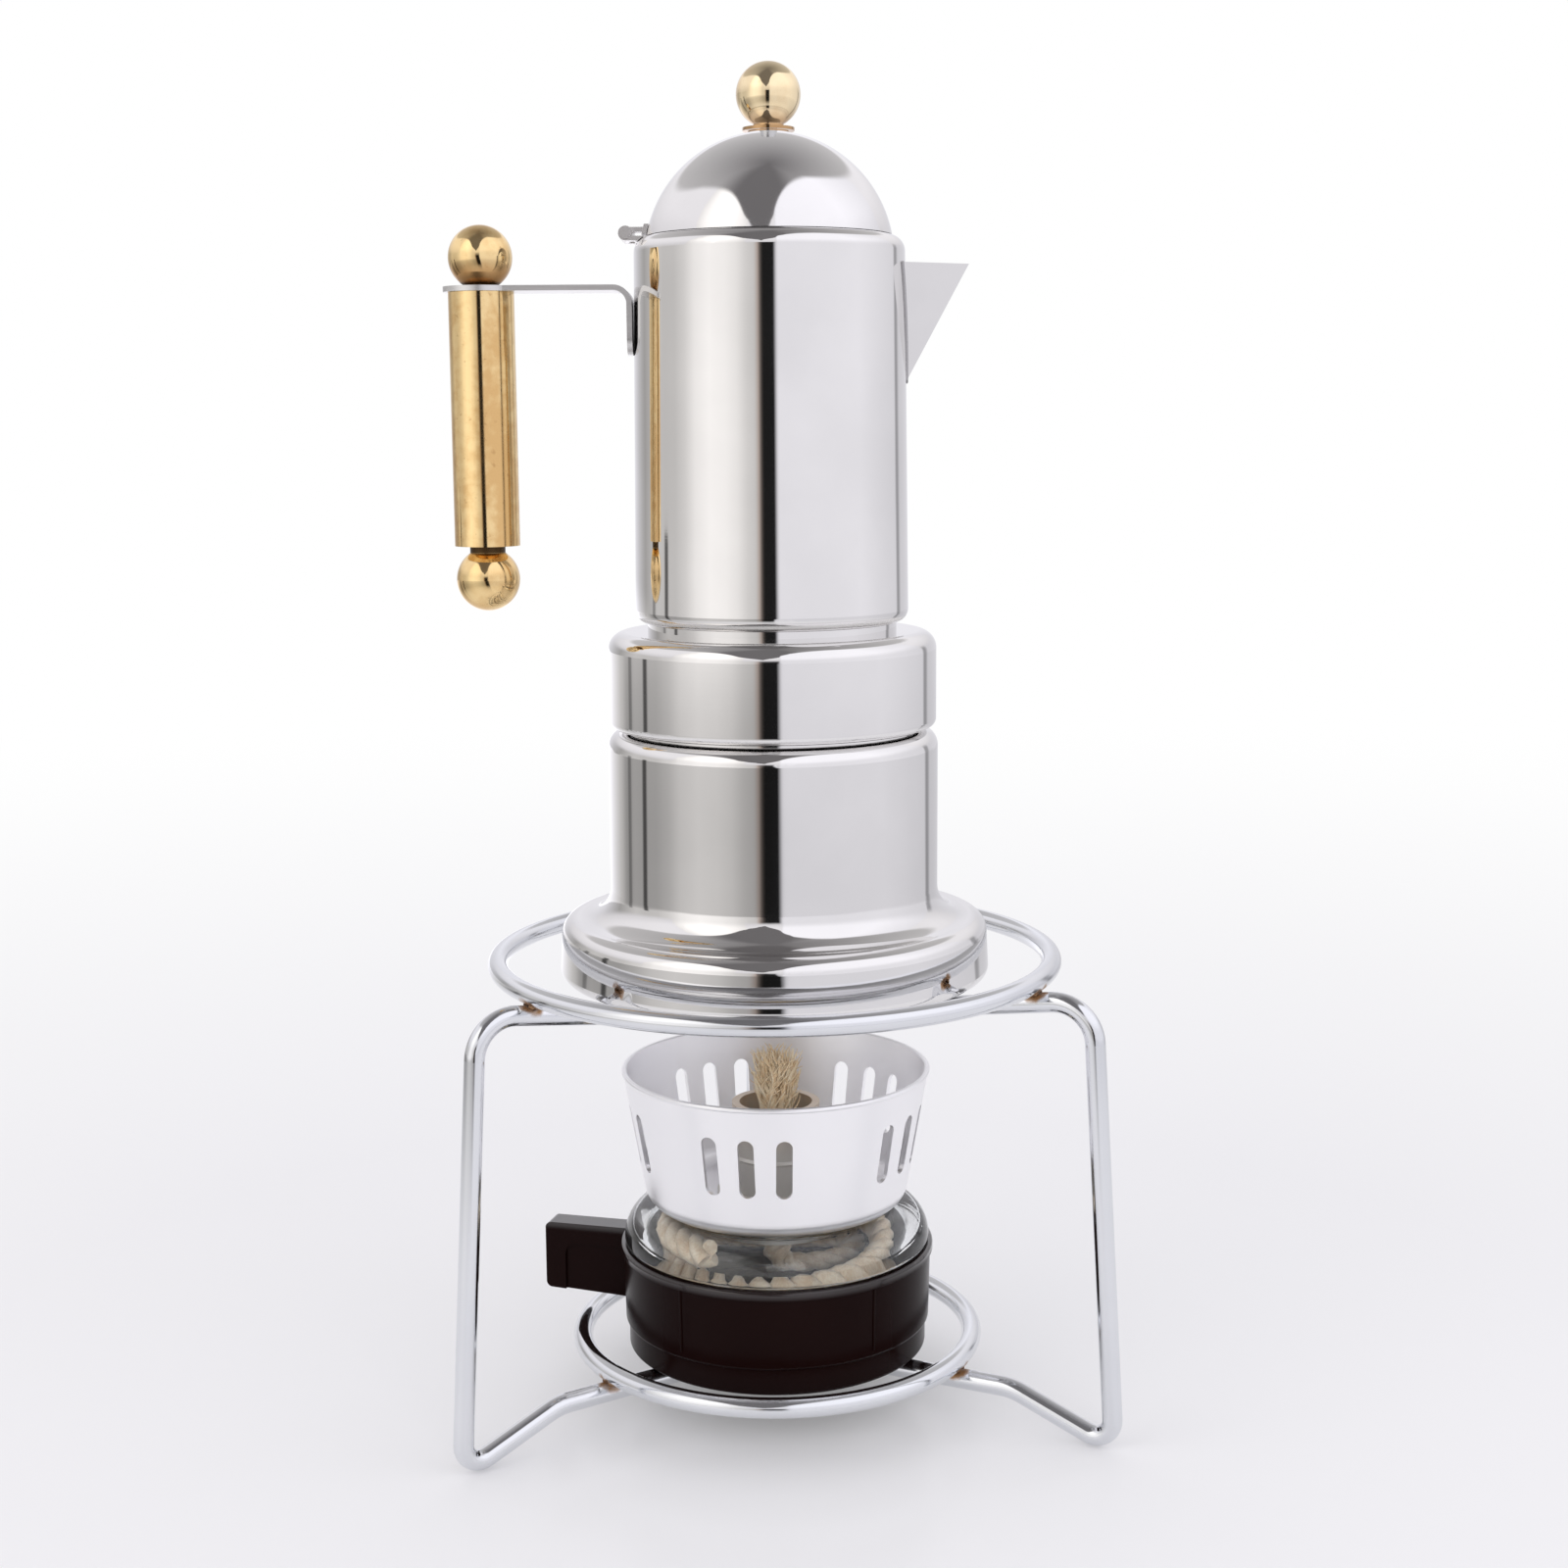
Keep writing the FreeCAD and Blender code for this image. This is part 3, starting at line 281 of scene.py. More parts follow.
class Finish(Nodes):
    """A material with a principled shader."""

    def __init__(self, name, **constants):
        self.material = bpy.data.materials.new(name)
        self.material.use_nodes = True
        super().__init__(self.material.node_tree)
        self.shader = self.tree.nodes["Principled BSDF"]
        self.place = self.add("ShaderNodeTexCoord", output="Object")
        for socket, value in constants.items():
            self.set(socket.replace("_", " "), value)

    def set(self, name, value):
        socket = self.shader.inputs[name]
        if isinstance(value, Value):
            self.tree.links.new(value.socket, socket)
        else:
            socket.default_value = value

    def stretched(self, scale):
        """Object coordinates stretched by a factor on each axis."""
        return self.add("ShaderNodeMapping", None, {"Vector": self.place, "Scale": scale})

    def radius(self):
        """Distance from the object's upright axis in millimetres."""
        x, y, _ = self.parts_of(self.place)
        return self.root(x * x + y * y) / MM

    def noise(self, scale, detail=3.0, place=None):
        sockets = {"Vector": place or self.place, "Scale": scale, "Detail": detail}
        return self.add("ShaderNodeTexNoise", None, sockets)

    def bump(self, height, strength, depth):
        sockets = {"Strength": strength, "Distance": depth * MM, "Height": height}
        self.set("Normal", self.add("ShaderNodeBump", None, sockets))


# Finishes
def polished_steel(name, tint, haze, hollow=None):
    """Mirror-polished steel with faint turning marks; hollow marks the duller inside of a shell."""
    steel = Finish(name, Metallic=1.0)
    cloud = steel.noise(26.0, detail=4.0)
    rings = steel.noise(1.0, detail=2.0, place=steel.stretched((30.0, 30.0, 2600.0)))
    dark = tuple(0.93 * part for part in tint)
    steel.set("Base Color", steel.blend(steel.step(cloud, 0.35, 0.7), (*tint, 1), (*dark, 1)))
    rough = haze + 0.03 * steel.step(cloud, 0.4, 0.75) + 0.02 * rings
    if hollow:
        inside = hollow(steel)
        steel.set("Metallic", 1.0 - 0.6 * inside)
        rough = rough + 0.3 * inside
    steel.set("Roughness", rough)
    steel.bump(rings, strength=0.03, depth=0.02)
    return steel.material


def jug_hollow(steel):
    """1 on the jug's inner wall and floor."""
    height = steel.parts_of(steel.place)[2] / MM
    outer = JUG_R - JUG_TAPER * (height - JUG_Z) / JUG_H
    shoulder = JUG_TOP - JUG_SHOULDER_DROP
    above = steel.step(height, JUG_Z + 0.5, JUG_Z + 0.85)
    below = steel.step(height, shoulder + 0.3, shoulder)
    return steel.step(outer - steel.radius(), 0.3, 0.6) * above * below


def spout_hollow(steel):
    """1 on the inner faces of the spout."""
    x, y, z = [part / MM for part in steel.parts_of(steel.place)]
    keel = SPOUT_TIP_X - (SPOUT_TOP - z) * KEEL_SLOPE
    return steel.step((keel - x) * SPOUT_SLANT - steel.unsigned(y), 0.3, 0.5)


def neck_hollow(steel):
    """1 on the inside of the boiler and its neck."""
    return steel.step(steel.radius(), NECK_BORE_R + 0.6, NECK_BORE_R + 0.2)


def lid_hollow(steel):
    """1 on the inside of the dome."""
    centre = Vector((0, 0, JUG_TOP - DOME_DROP)) * MM
    span = steel.distance(steel.place, centre) / MM
    return steel.step(span, DOME_R - 0.3, DOME_R - 0.6)


def satin_steel(name, tint):
    """Fine-ground steel of the inner pieces."""
    steel = Finish(name, Metallic=1.0)
    rings = steel.noise(1.0, detail=3.0, place=steel.stretched((60.0, 60.0, 3200.0)))
    cloud = steel.noise(60.0, detail=4.0)
    dark = tuple(0.8 * part for part in tint)
    steel.set("Base Color", steel.blend(cloud, (*tint, 1), (*dark, 1)))
    steel.set("Roughness", 0.24 + 0.16 * rings)
    steel.bump(rings, strength=0.12, depth=0.03)
    return steel.material


def plated_wire():
    """Bright plating with straw and brown heat tint at the welded crossings."""
    wire = Finish("plated_wire", Metallic=1.0)
    heat = None
    for angle in LEG_ANGLES:
        for radius, z in (UPPER_WELD, LOWER_WELD):
            point = spoke(radius, angle, z)
            near = wire.step(wire.distance(wire.place, point), HEAT_FAR * MM, HEAT_NEAR * MM)
            heat = near if heat is None else heat + near
    speck = wire.noise(420.0, detail=4.0)
    stain = wire.step(heat * (0.3 + speck), 0.4, 0.9)
    plate = wire.blend(wire.noise(40.0, detail=3.0), (0.80, 0.81, 0.835, 1), (0.70, 0.715, 0.745, 1))
    wire.set("Base Color", wire.blend(stain, plate, (0.34, 0.19, 0.09, 1)))
    wire.set("Roughness", 0.07 + 0.07 * wire.noise(90.0, detail=3.0) + 0.3 * stain)
    wire.set("Metallic", 1.0 - 0.45 * stain)
    wire.bump(speck, strength=0.05, depth=0.05)
    return wire.material


def weld_metal():
    """Burnt weld metal."""
    weld = Finish("weld_metal")
    grain = weld.noise(900.0, detail=4.0)
    colour = weld.blend(weld.step(grain, 0.35, 0.65), (0.075, 0.032, 0.014, 1), (0.36, 0.22, 0.12, 1))
    weld.set("Base Color", colour)
    weld.set("Metallic", 0.55 + 0.3 * grain)
    weld.set("Roughness", 0.35 + 0.3 * grain)
    weld.bump(grain, strength=0.5, depth=0.2)
    return weld.material


def gilt_brass(name, tarnish, pale=(0.93, 0.70, 0.36), shaded_crevice=None, painted_shade=None):
    """Polished brass: tarnish adds brown clouds and spots; the crevice band gets a near-black painted
    shadow and the lower band a brown painted shade, darker towards the bottom.
    """
    brass = Finish(name, Metallic=1.0)
    cloud = brass.noise(110.0, detail=5.0, place=brass.stretched((1.0, 1.0, 0.22)))
    fine = brass.noise(420.0, detail=4.0)
    spots = brass.step(brass.noise(700.0, detail=3.0), 0.64, 0.74)
    brown = brass.step(cloud * 0.7 + fine * 0.3, 0.42, 0.62) * tarnish
    gold = brass.blend(brown, (*pale, 1), (0.60, 0.32, 0.10, 1))
    gold = brass.blend(spots * (0.45 * tarnish), gold, (0.30, 0.14, 0.045, 1))
    rough = 0.06 + 0.12 * brown + 0.08 * tarnish * spots
    height = brass.parts_of(brass.place)[2] / MM
    if painted_shade:
        # Painted shade: the brass turns brown towards the bottom of this height band
        gold = brass.blend(0.75 * brass.step(height + cloud, *painted_shade), gold, (0.40, 0.19, 0.06, 1))
    if shaded_crevice:
        low, high = shaded_crevice
        # Painted shadow: near-black brass in the crevice where the ball meets the grip
        painted_shadow = brass.step(height, low - 0.9, low) * brass.step(height, high + 0.9, high)
        gold = brass.blend(0.93 * painted_shadow, gold, (0.035, 0.016, 0.007, 1))
        rough = rough + 0.35 * painted_shadow
    brass.set("Base Color", gold)
    brass.set("Roughness", rough)
    brass.bump(cloud, strength=0.05 * tarnish + 0.01, depth=0.05)
    return brass.material


def spun_aluminium():
    """Satin spun aluminium with fine rings and a slightly clouded face."""
    metal = Finish("spun_aluminium", Metallic=1.0)
    rings = metal.noise(1.0, detail=3.0, place=metal.stretched((40.0, 40.0, 5200.0)))
    cloud = metal.noise(55.0, detail=4.0)
    metal.set("Base Color", metal.blend(cloud, (0.975, 0.97, 0.985, 1), (0.92, 0.915, 0.935, 1)))
    metal.set("Roughness", 0.30 + 0.10 * rings)
    metal.bump(rings, strength=0.10, depth=0.03)
    return metal.material


def heat_stained_steel():
    """Dull tube steel, brown towards the flame."""
    steel = Finish("heat_stained_steel", Metallic=0.55)
    height = steel.parts_of(steel.place)[2]
    cloud = steel.noise(140.0, detail=4.0)
    brown = steel.step(height + 0.010 * cloud, TUBE_CLEAN * MM, TUBE_BROWN * MM)
    steel.set("Base Color", steel.blend(brown, (0.80, 0.78, 0.74, 1), (0.74, 0.61, 0.48, 1)))
    steel.set("Roughness", 0.30 + 0.2 * cloud)
    steel.bump(cloud, strength=0.1, depth=0.05)
    return steel.material


def moulded_plastic():
    """Dark brown moulded plastic with a fine matt grain, polished by hands along its upper edges."""
    coat = {"Coat_IOR": 1.6, "Coat_Roughness": 0.12}
    plastic = Finish("moulded_plastic", Specular_IOR_Level=0.06, IOR=1.45, **coat)
    grain = plastic.noise(1500.0, detail=3.0)
    cloud = plastic.noise(45.0, detail=4.0)
    brown = plastic.blend(cloud, (0.0052, 0.0014, 0.0013, 1), (0.0095, 0.0032, 0.0028, 1))
    plastic.set("Base Color", brown)
    plastic.set("Roughness", 0.16 + 0.10 * cloud + 0.04 * grain)
    height = plastic.parts_of(plastic.place)[2] / MM
    plastic.set("Coat Weight", plastic.step(height, HANDLED_LOW, HANDLED_HIGH) * (0.7 + 0.5 * cloud))
    plastic.bump(grain, strength=0.08, depth=0.03)
    return plastic.material


def clear_glass():
    """Pressed clear glass with slight waves."""
    glass = Finish("clear_glass", Transmission_Weight=0.99, IOR=1.45)
    wave = glass.noise(38.0, detail=2.0)
    glass.set("Base Color", glass.blend(wave, (0.97, 0.985, 0.99, 1), (0.93, 0.955, 0.965, 1)))
    glass.set("Roughness", 0.015 + 0.02 * wave)
    glass.bump(wave, strength=0.25, depth=0.6)
    return glass.material


def cotton(name, pale, dark):
    """Twisted cotton yarn."""
    yarn = Finish(name, Sheen_Weight=0.25, Sheen_Roughness=0.5)
    fibre = yarn.noise(2600.0, detail=3.0)
    cloud = yarn.noise(260.0, detail=4.0)
    tone = yarn.step(cloud * 0.6 + fibre * 0.4, 0.34, 0.64)
    yarn.set("Base Color", yarn.blend(tone, (*dark, 1), (*pale, 1)))
    yarn.set("Roughness", 0.82 + 0.12 * fibre)
    yarn.bump(fibre, strength=0.5, depth=0.12)
    return yarn.material


def pale_rubber():
    """Pale silicone seal."""
    rubber = Finish("pale_rubber")
    cloud = rubber.noise(120.0, detail=4.0)
    rubber.set("Base Color", rubber.blend(cloud, (0.78, 0.76, 0.70, 1), (0.66, 0.64, 0.58, 1)))
    rubber.set("Roughness", 0.55 + 0.15 * cloud)
    rubber.bump(rubber.noise(900.0, detail=2.0), strength=0.15, depth=0.04)
    return rubber.material


# Modelling helpers
def spoke(radius, angle, z):
    """Point at a radius, an angle from X and a height, given in millimetres."""
    turn = math.radians(angle)
    return Vector((radius * math.cos(turn), radius * math.sin(turn), z)) * MM


def clear_selection():
    bpy.ops.object.select_all(action="DESELECT")


def only(piece):
    """Makes one object the only selected one."""
    clear_selection()
    piece.select_set(True)
    bpy.context.view_layer.objects.active = piece


def settle(piece, name, body, material):
    """Applies the piece's place, names it, dresses it and makes it ride."""
    only(piece)
    bpy.ops.object.transform_apply(location=True, rotation=True, scale=True)
    piece.name = name
    piece.data.name = name
    piece.data.materials.clear()
    piece.data.materials.append(material)
    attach(piece, body)
    return piece


def joined(pieces):
    """One object of several."""
    clear_selection()
    for piece in pieces:
        piece.select_set(True)
    bpy.context.view_layer.objects.active = pieces[0]
    bpy.ops.object.join()
    return bpy.context.view_layer.objects.active


def strand(points, radius, taper=None, sides=2, kind="POLY"):
    """A round strand through points; taper gives the share of the radius at each point."""
    curve = bpy.data.curves.new("strand", "CURVE")
    curve.dimensions = "3D"
    curve.bevel_depth = radius
    curve.bevel_resolution = sides
    curve.use_fill_caps = True
    curve.resolution_u = 3
    spline = curve.splines.new(kind)
    spline.points.add(len(points) - 1)
    for number, point in enumerate(points):
        spline.points[number].co = (*point, 1.0)
        spline.points[number].radius = taper[number] if taper else 1.0
    if kind == "NURBS":
        spline.order_u = 3
        spline.use_endpoint_u = True
    piece = bpy.data.objects.new("strand", curve)
    bpy.context.scene.collection.objects.link(piece)
    return piece


def as_mesh(pieces):
    """Turns curve objects into one mesh object."""
    clear_selection()
    for piece in pieces:
        piece.select_set(True)
    bpy.context.view_layer.objects.active = pieces[0]
    bpy.ops.object.convert(target="MESH")
    piece = joined(pieces)
    only(piece)
    bpy.ops.object.shade_smooth()
    return piece


# Wick
def wick_route():
    """Control points of the wick: down the holder, across the jar's floor and up in a coil."""
    points = [Vector((0, 0, z)) for z in (HOLDER_TOP - 1.0, *WICK_DOWN, COIL_Z + 1.0)]
    points += [Vector((x, y, COIL_Z)) for x, y in WICK_BENDS]
    for number in range(COIL_STEPS + 1):
        share = number / COIL_STEPS
        turn = math.radians(COIL_START + 360 * COIL_TURNS * share)
        z = COIL_Z + COIL_PITCH * COIL_TURNS * share
        points.append(Vector((COIL_R * math.cos(turn), COIL_R * math.sin(turn), z)))
    return [point * MM for point in points]


def line_points(points, spacing):
    """Evenly spaced points read from a smooth spline through control points."""
    guide = strand(points, 0.0, kind="NURBS")
    guide.data.use_fill_caps = False
    guide.data.resolution_u = 12
    bpy.context.view_layer.update()
    mesh = bpy.data.meshes.new_from_object(guide)
    line = [vertex.co.copy() for vertex in mesh.vertices]
    bpy.data.meshes.remove(mesh)
    bpy.data.objects.remove(guide)
    even = [line[0]]
    left = spacing
    for first, last in zip(line, line[1:]):
        run = (last - first).length
        while run > left:
            first = first + (last - first).normalized() * left
            even.append(first.copy())
            run -= left
            left = spacing
        left -= run
    return even


def twisted(line, count, lay_r, turn_length, spacing):
    """Strands laid round a line."""
    strands = [[] for _ in range(count)]
    side = Vector((1, 0, 0))
    for number, point in enumerate(line):
        ahead = line[min(number + 1, len(line) - 1)] - line[max(number - 1, 0)]
        ahead.normalize()
        side = (side - ahead * side.dot(ahead)).normalized()
        other = ahead.cross(side)
        for index in range(count):
            turn = 2 * math.pi * (index / count + number * spacing / turn_length)
            strands[index].append(point + (side * math.cos(turn) + other * math.sin(turn)) * lay_r)
    return strands


def wick_cord(material):
    """Three-strand cotton cord from the flame to the jar's floor."""
    spacing = WICK_STEP * MM
    line = line_points(wick_route(), spacing)
    yarn_r = 0.5 * WICK_R * MM
    lines = twisted(line, 3, yarn_r, WICK_LAY * MM, spacing)
    yarns = [strand(points, yarn_r) for points in lines]
    piece = settle(as_mesh(yarns), "wick_cord", "burner", material)
    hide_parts("wick")


def frayed(root, out, low, top, turn, curl, sway):
    """Points of one yarn or fibre that leaves the cord and leans outwards."""
    points = []
    for share in (0.0, 0.3, 0.55, 0.8, 1.0):
        reach = root + (out - root) * share ** 1.3 + sway * math.sin(6.0 * share)
        bend = turn + curl * share
        z = low + (top - low) * share
        points.append(Vector((reach * math.cos(bend), reach * math.sin(bend), z)) * MM)
    return points


def wick_tuft(material):
    """Frayed top of the wick: thick loose yarns and many single fibres."""
    draw = random.Random(11)
    low = HOLDER_TOP - TUFT_ROOT
    pieces = []
    for number in range(TUFT_YARNS):
        turn = 2.4 * number
        root = 3.0 * math.sqrt((number + 0.5) / TUFT_YARNS)
        out = root * draw.uniform(1.2, 1.75)
        top = WICK_TOP - draw.uniform(2.0, 7.5)
        points = frayed(root, out, low, top, turn, draw.uniform(-0.6, 0.8), draw.uniform(-0.5, 0.5))
        pieces.append(strand(points, draw.uniform(0.55, 0.8) * MM, YARN_TAPER, 1, "NURBS"))
    for _ in range(TUFT_FIBRES):
        turn = draw.uniform(0, 2 * math.pi)
        root = 3.3 * math.sqrt(draw.random())
        out = min(TUFT_R, root * draw.uniform(1.2, 1.9) + abs(draw.gauss(0.0, 1.0)))
        start = draw.uniform(low, HOLDER_TOP + 5.0)
        top = min(WICK_TOP, start + draw.uniform(4.0, 12.0))
        points = frayed(root, out, start, top, turn, draw.uniform(-1.6, 1.6), draw.uniform(-0.9, 0.9))
        pieces.append(strand(points, draw.uniform(0.13, 0.26) * MM, FIBRE_TAPER, 0, "NURBS"))
    settle(as_mesh(pieces), "wick_tuft", "burner", material)


# Stand
def weld_bead(place, turn, seed):
    """One lumpy weld bead, flattened towards the wires."""
    clear_selection()
    bpy.ops.mesh.primitive_uv_sphere_add(segments=20, ring_count=12, radius=1.0, location=place)
    bead = bpy.context.object
    bead.scale = Vector(BEAD_SIZE) * MM
    bead.rotation_euler = (0, 0, turn)
    bpy.ops.object.transform_apply(location=False, rotation=True, scale=True)
    bpy.ops.object.mode_set(mode="EDIT")
    bpy.ops.mesh.select_all(action="SELECT")
    bpy.ops.transform.vertex_random(offset=BEAD_LUMPS * MM, uniform=0.0, normal=0.6, seed=seed)
    bpy.ops.mesh.vertices_smooth(factor=0.5, repeat=2)
    bpy.ops.object.mode_set(mode="OBJECT")
    bpy.ops.object.shade_smooth()
    return bead


def weld_beads(material):
    """A bead on each side of every crossing of bar and ring."""
    beads = []
    for angle in LEG_ANGLES:
        for radius, z in (UPPER_WELD, LOWER_WELD):
            for side in (-1, 1):
                place = spoke(radius, angle, z) + spoke(BEAD_ASIDE * side, angle + 90, 0)
                beads.append(weld_bead(place, math.radians(angle), len(beads)))
    settle(joined(beads), "weld_beads", "stand", material)


# Burner cup
def mould_lines(material):
    """Thin raised parting lines left by the mould on the cup's wall."""
    lines = []
    for angle in MOULD_LINE_ANGLES:
        middle = 0.5 * (MOULD_LINE_LOW + MOULD_LINE_TOP)
        clear_selection()
        bpy.ops.mesh.primitive_cube_add(size=1.0, location=spoke(CUP_R, angle, middle))
        line = bpy.context.object
        line.scale = Vector((MOULD_LINE_DEPTH, MOULD_LINE_W, MOULD_LINE_TOP - MOULD_LINE_LOW)) * MM
        line.rotation_euler = (0, CUP_DRAFT, math.radians(angle))
        bpy.ops.object.transform_apply(location=False, rotation=True, scale=True)
        bpy.ops.object.mode_set(mode="EDIT")
        bpy.ops.mesh.select_all(action="SELECT")
        bpy.ops.mesh.bevel(offset=MOULD_LINE_EDGE * MM, segments=3, affect="EDGES")
        bpy.ops.object.mode_set(mode="OBJECT")
        bpy.ops.object.shade_smooth()
        lines.append(line)
    settle(joined(lines), "mould_lines", "burner", material)


# Shield
def shield_rim(material):
    """Rolled edge round the shield's mouth."""
    clear_selection()
    place = Vector((SHIELD_RIM_R - RIM_INSET, 0, SHIELD_TOP - RIM_INSET)) * MM
    bpy.ops.mesh.primitive_circle_add(vertices=14, radius=RIM_BEAD_R * MM, fill_type="NOTHING",
                                      location=place, rotation=(math.pi / 2, 0, 0))
    rim = bpy.context.object
    bpy.ops.object.transform_apply(location=True, rotation=True, scale=True)
    bpy.ops.object.mode_set(mode="EDIT")
    bpy.ops.mesh.select_all(action="SELECT")
    bpy.ops.mesh.spin(steps=160, dupli=False, angle=2 * math.pi, center=(0, 0, 0), axis=(0, 0, 1))
    bpy.ops.mesh.select_all(action="SELECT")
    bpy.ops.mesh.remove_doubles(threshold=0.01 * MM)
    bpy.ops.mesh.normals_make_consistent(inside=False)
    bpy.ops.object.mode_set(mode="OBJECT")
    bpy.ops.object.shade_smooth()
    settle(rim, "shield_rim", "burner", material)


# Jug
def spout_seam(material):
    """Thin brazed seam where each side of the spout meets the jug."""
    sides = ([], [])
    for step in range(SEAM_STEPS + 1):
        z = SPOUT_TOP - SPOUT_HEIGHT * (1 - step / SEAM_STEPS)
        radius = JUG_R - JUG_TAPER * (z - JUG_Z) / JUG_H
        keel = SPOUT_TIP_X - (SPOUT_TOP - z) * KEEL_SLOPE
        x = keel
        for _ in range(SEAM_ROUNDS):
            y = (keel - x) * SPOUT_SLANT
            x = math.sqrt(max(radius ** 2 - y ** 2, 0.0))
        y = (keel - x) * SPOUT_SLANT
        for side, points in zip((-1, 1), sides):
            points.append(Vector((x + SEAM_LIFT, side * (y + SEAM_LIFT), z)) * MM)
    whole = sides[0][::-1] + sides[1][1:]
    seam = as_mesh([strand(whole, SEAM_R * MM)])
    settle(seam, "spout_seam", "jug", material)


# Stage
def studio_panels(nodes, bearing):
    """Brightness round the studio by bearing: 0 is towards the camera, positive to its right."""
    stops = []
    for angle, level, tint in STUDIO:
        colour = tuple(level / PANEL_PEAK * part for part in tint)
        stops.append((0.5 + angle / 360.0, colour))
    place = bearing / (2 * math.pi) + 0.5
    return nodes.add("ShaderNodeValToRGB", {"stops": stops}, {"Fac": place})


def scaled(nodes, colour, factor):
    """A colour multiplied by a factor."""
    sockets = {0: colour, "Scale": factor}
    return nodes.add("ShaderNodeVectorMath", {"operation": "SCALE"}, sockets)


def studio_floor():
    """Pale floor that fades to white away from the object; metal sees it end as a table does."""
    clear_selection()
    bpy.ops.mesh.primitive_plane_add(size=FLOOR_SIZE, location=(0, 0, -FLOOR_DROP))
    floor = bpy.context.object
    floor.name = "studio_floor"
    paint = Finish("studio_floor", Roughness=0.2, IOR=1.25)
    paint.set("Base Color", (0.865, 0.855, 0.89, 1))
    span = paint.distance(paint.place, Vector((0, 0, 0)))
    fade = {"Value": span, "From Min": 0.22, "From Max": 1.30, "To Min": 0.90, "To Max": 0.0}
    near = paint.add("ShaderNodeMapRange", {"clamp": True}, fade)
    glow = paint.add("ShaderNodeEmission", None, {"Color": (1, 1, 1, 1), "Strength": 1.0})
    base = Value(paint, paint.shader.outputs[0])
    seen = paint.add("ShaderNodeMixShader", None, {0: 1.0 - near * near, 1: base, 2: glow})
    x, y, _ = paint.parts_of(paint.place)
    bearing = paint.bearing(x, y)
    panels = studio_panels(paint, bearing)
    dim = 0.60 + 0.27 * paint.step(bearing, -0.2, 0.2)
    level = dim + (1.0 - dim) * paint.step(span, 0.8, 2.6)
    behind = paint.step(bearing, -2.08, -2.35)
    level = level + 0.9 * behind * paint.step(span, 3.2, 1.4)
    for edge, depth in TABLE_EDGES:
        aside = paint.unsigned(bearing - math.radians(edge))
        level = level * (1.0 - depth * paint.step(aside, 0.06, 0.015))
    beyond = paint.add("ShaderNodeEmission", None, {"Color": panels, "Strength": PANEL_PEAK * level})
    glossy = paint.add("ShaderNodeLightPath", output="Is Glossy Ray")
    table = glossy * paint.step(span, 0.15, 0.62)
    mixed = paint.add("ShaderNodeMixShader", None, {0: table, 1: seen, 2: beyond})
    paint.tree.links.new(mixed.socket, paint.tree.nodes["Material Output"].inputs["Surface"])
    floor.data.materials.append(paint.material)


def studio_world():
    """White backdrop, two soft boxes with a dark gap towards the camera, and a grey ceiling."""
    world = bpy.data.worlds.new("studio")
    world.use_nodes = True
    bpy.context.scene.world = world
    nodes = Nodes(world.node_tree)
    sky = world.node_tree.nodes["Background"]
    x, y, z = nodes.parts_of(nodes.add("ShaderNodeTexCoord", output="Generated"))
    bearing = nodes.bearing(x, y)
    panels = scaled(nodes, studio_panels(nodes, bearing), PANEL_PEAK)
    closing = {"data_type": "RGBA", "blend_type": "LIGHTEN"}
    closed = {0: nodes.step(z, 0.10, 0.28), 6: panels, 7: SOFT_BOX}
    panels = nodes.add("ShaderNodeMix", closing, closed, 2)
    panels = scaled(nodes, panels, 1.0 + 0.24 * nodes.step(z, 0.15, 0.5))
    aside = nodes.unsigned(bearing + FAN_BEARING + FAN_LEAN * z)
    flare = FAN_WIDTH / (aside + FAN_SOFT) - FAN_END
    fan = nodes.add("ShaderNodeMath", {"operation": "MAXIMUM"}, {0: flare, 1: 0.0})
    tilted = z + CEILING_TILT_Y * y + CEILING_TILT_X * x
    high = nodes.step(tilted + fan * nodes.step(z, 0.25, 0.62), *CEILING_EDGE)
    outward = nodes.root(1.0 - z * z)
    paler = 0.03 + 0.95 * outward * nodes.step(aside, 0.5, 1.25)
    ceiling = nodes.blend(paler, CEILING_DARK, CEILING_PALE)
    studio = nodes.blend(high, panels, ceiling)
    camera = nodes.add("ShaderNodeLightPath", output="Is Camera Ray")
    glossy = nodes.add("ShaderNodeLightPath", output="Is Glossy Ray")
    plain = nodes.blend(camera, (0.85, 0.85, 0.86, 1), (1, 1, 1, 1))
    level = nodes.blend(glossy, plain, studio)
    nodes.tree.links.new(level.socket, sky.inputs["Color"])
    sky.inputs["Strength"].default_value = 1.0


def key_lamp(name, place, size, power, colour):
    """Soft square lamp aimed at the middle of the object."""
    data = bpy.data.lights.new(name, "AREA")
    data.size = size
    data.energy = power
    data.color = colour
    lamp = bpy.data.objects.new(name, data)
    bpy.context.scene.collection.objects.link(lamp)
    aim = LAMP_AIM - Vector(place)
    lamp.matrix_world = Matrix.Translation(place) @ aim.to_track_quat("-Z", "Y").to_matrix().to_4x4()
    lamp.visible_glossy = False


def photo_camera():
    """Camera at the photograph's place."""
    data = bpy.data.cameras.new("photo_camera")
    data.lens = CAMERA_LENS
    data.sensor_width = CAMERA_SENSOR
    data.clip_start = 0.01
    camera = bpy.data.objects.new("photo_camera", data)
    bpy.context.scene.collection.objects.link(camera)
    turn = Matrix.Rotation(-CAMERA_PAN, 4, "Z") @ Matrix.Rotation(math.pi / 2 - CAMERA_PITCH, 4, "X")
    turn = turn @ Matrix.Rotation(CAMERA_ROLL, 4, "Z")
    camera.matrix_world = Matrix.Translation(CAMERA_PLACE) @ turn
    bpy.context.scene.camera = camera


def dress(material, *names):
    """Gives a finish to frame nodes."""
    for name in names:
        NODES[name].data.materials.clear()
        NODES[name].data.materials.append(material)


photo_camera()
studio_world()
studio_floor()
for lamp in LAMPS:
    key_lamp(*lamp)

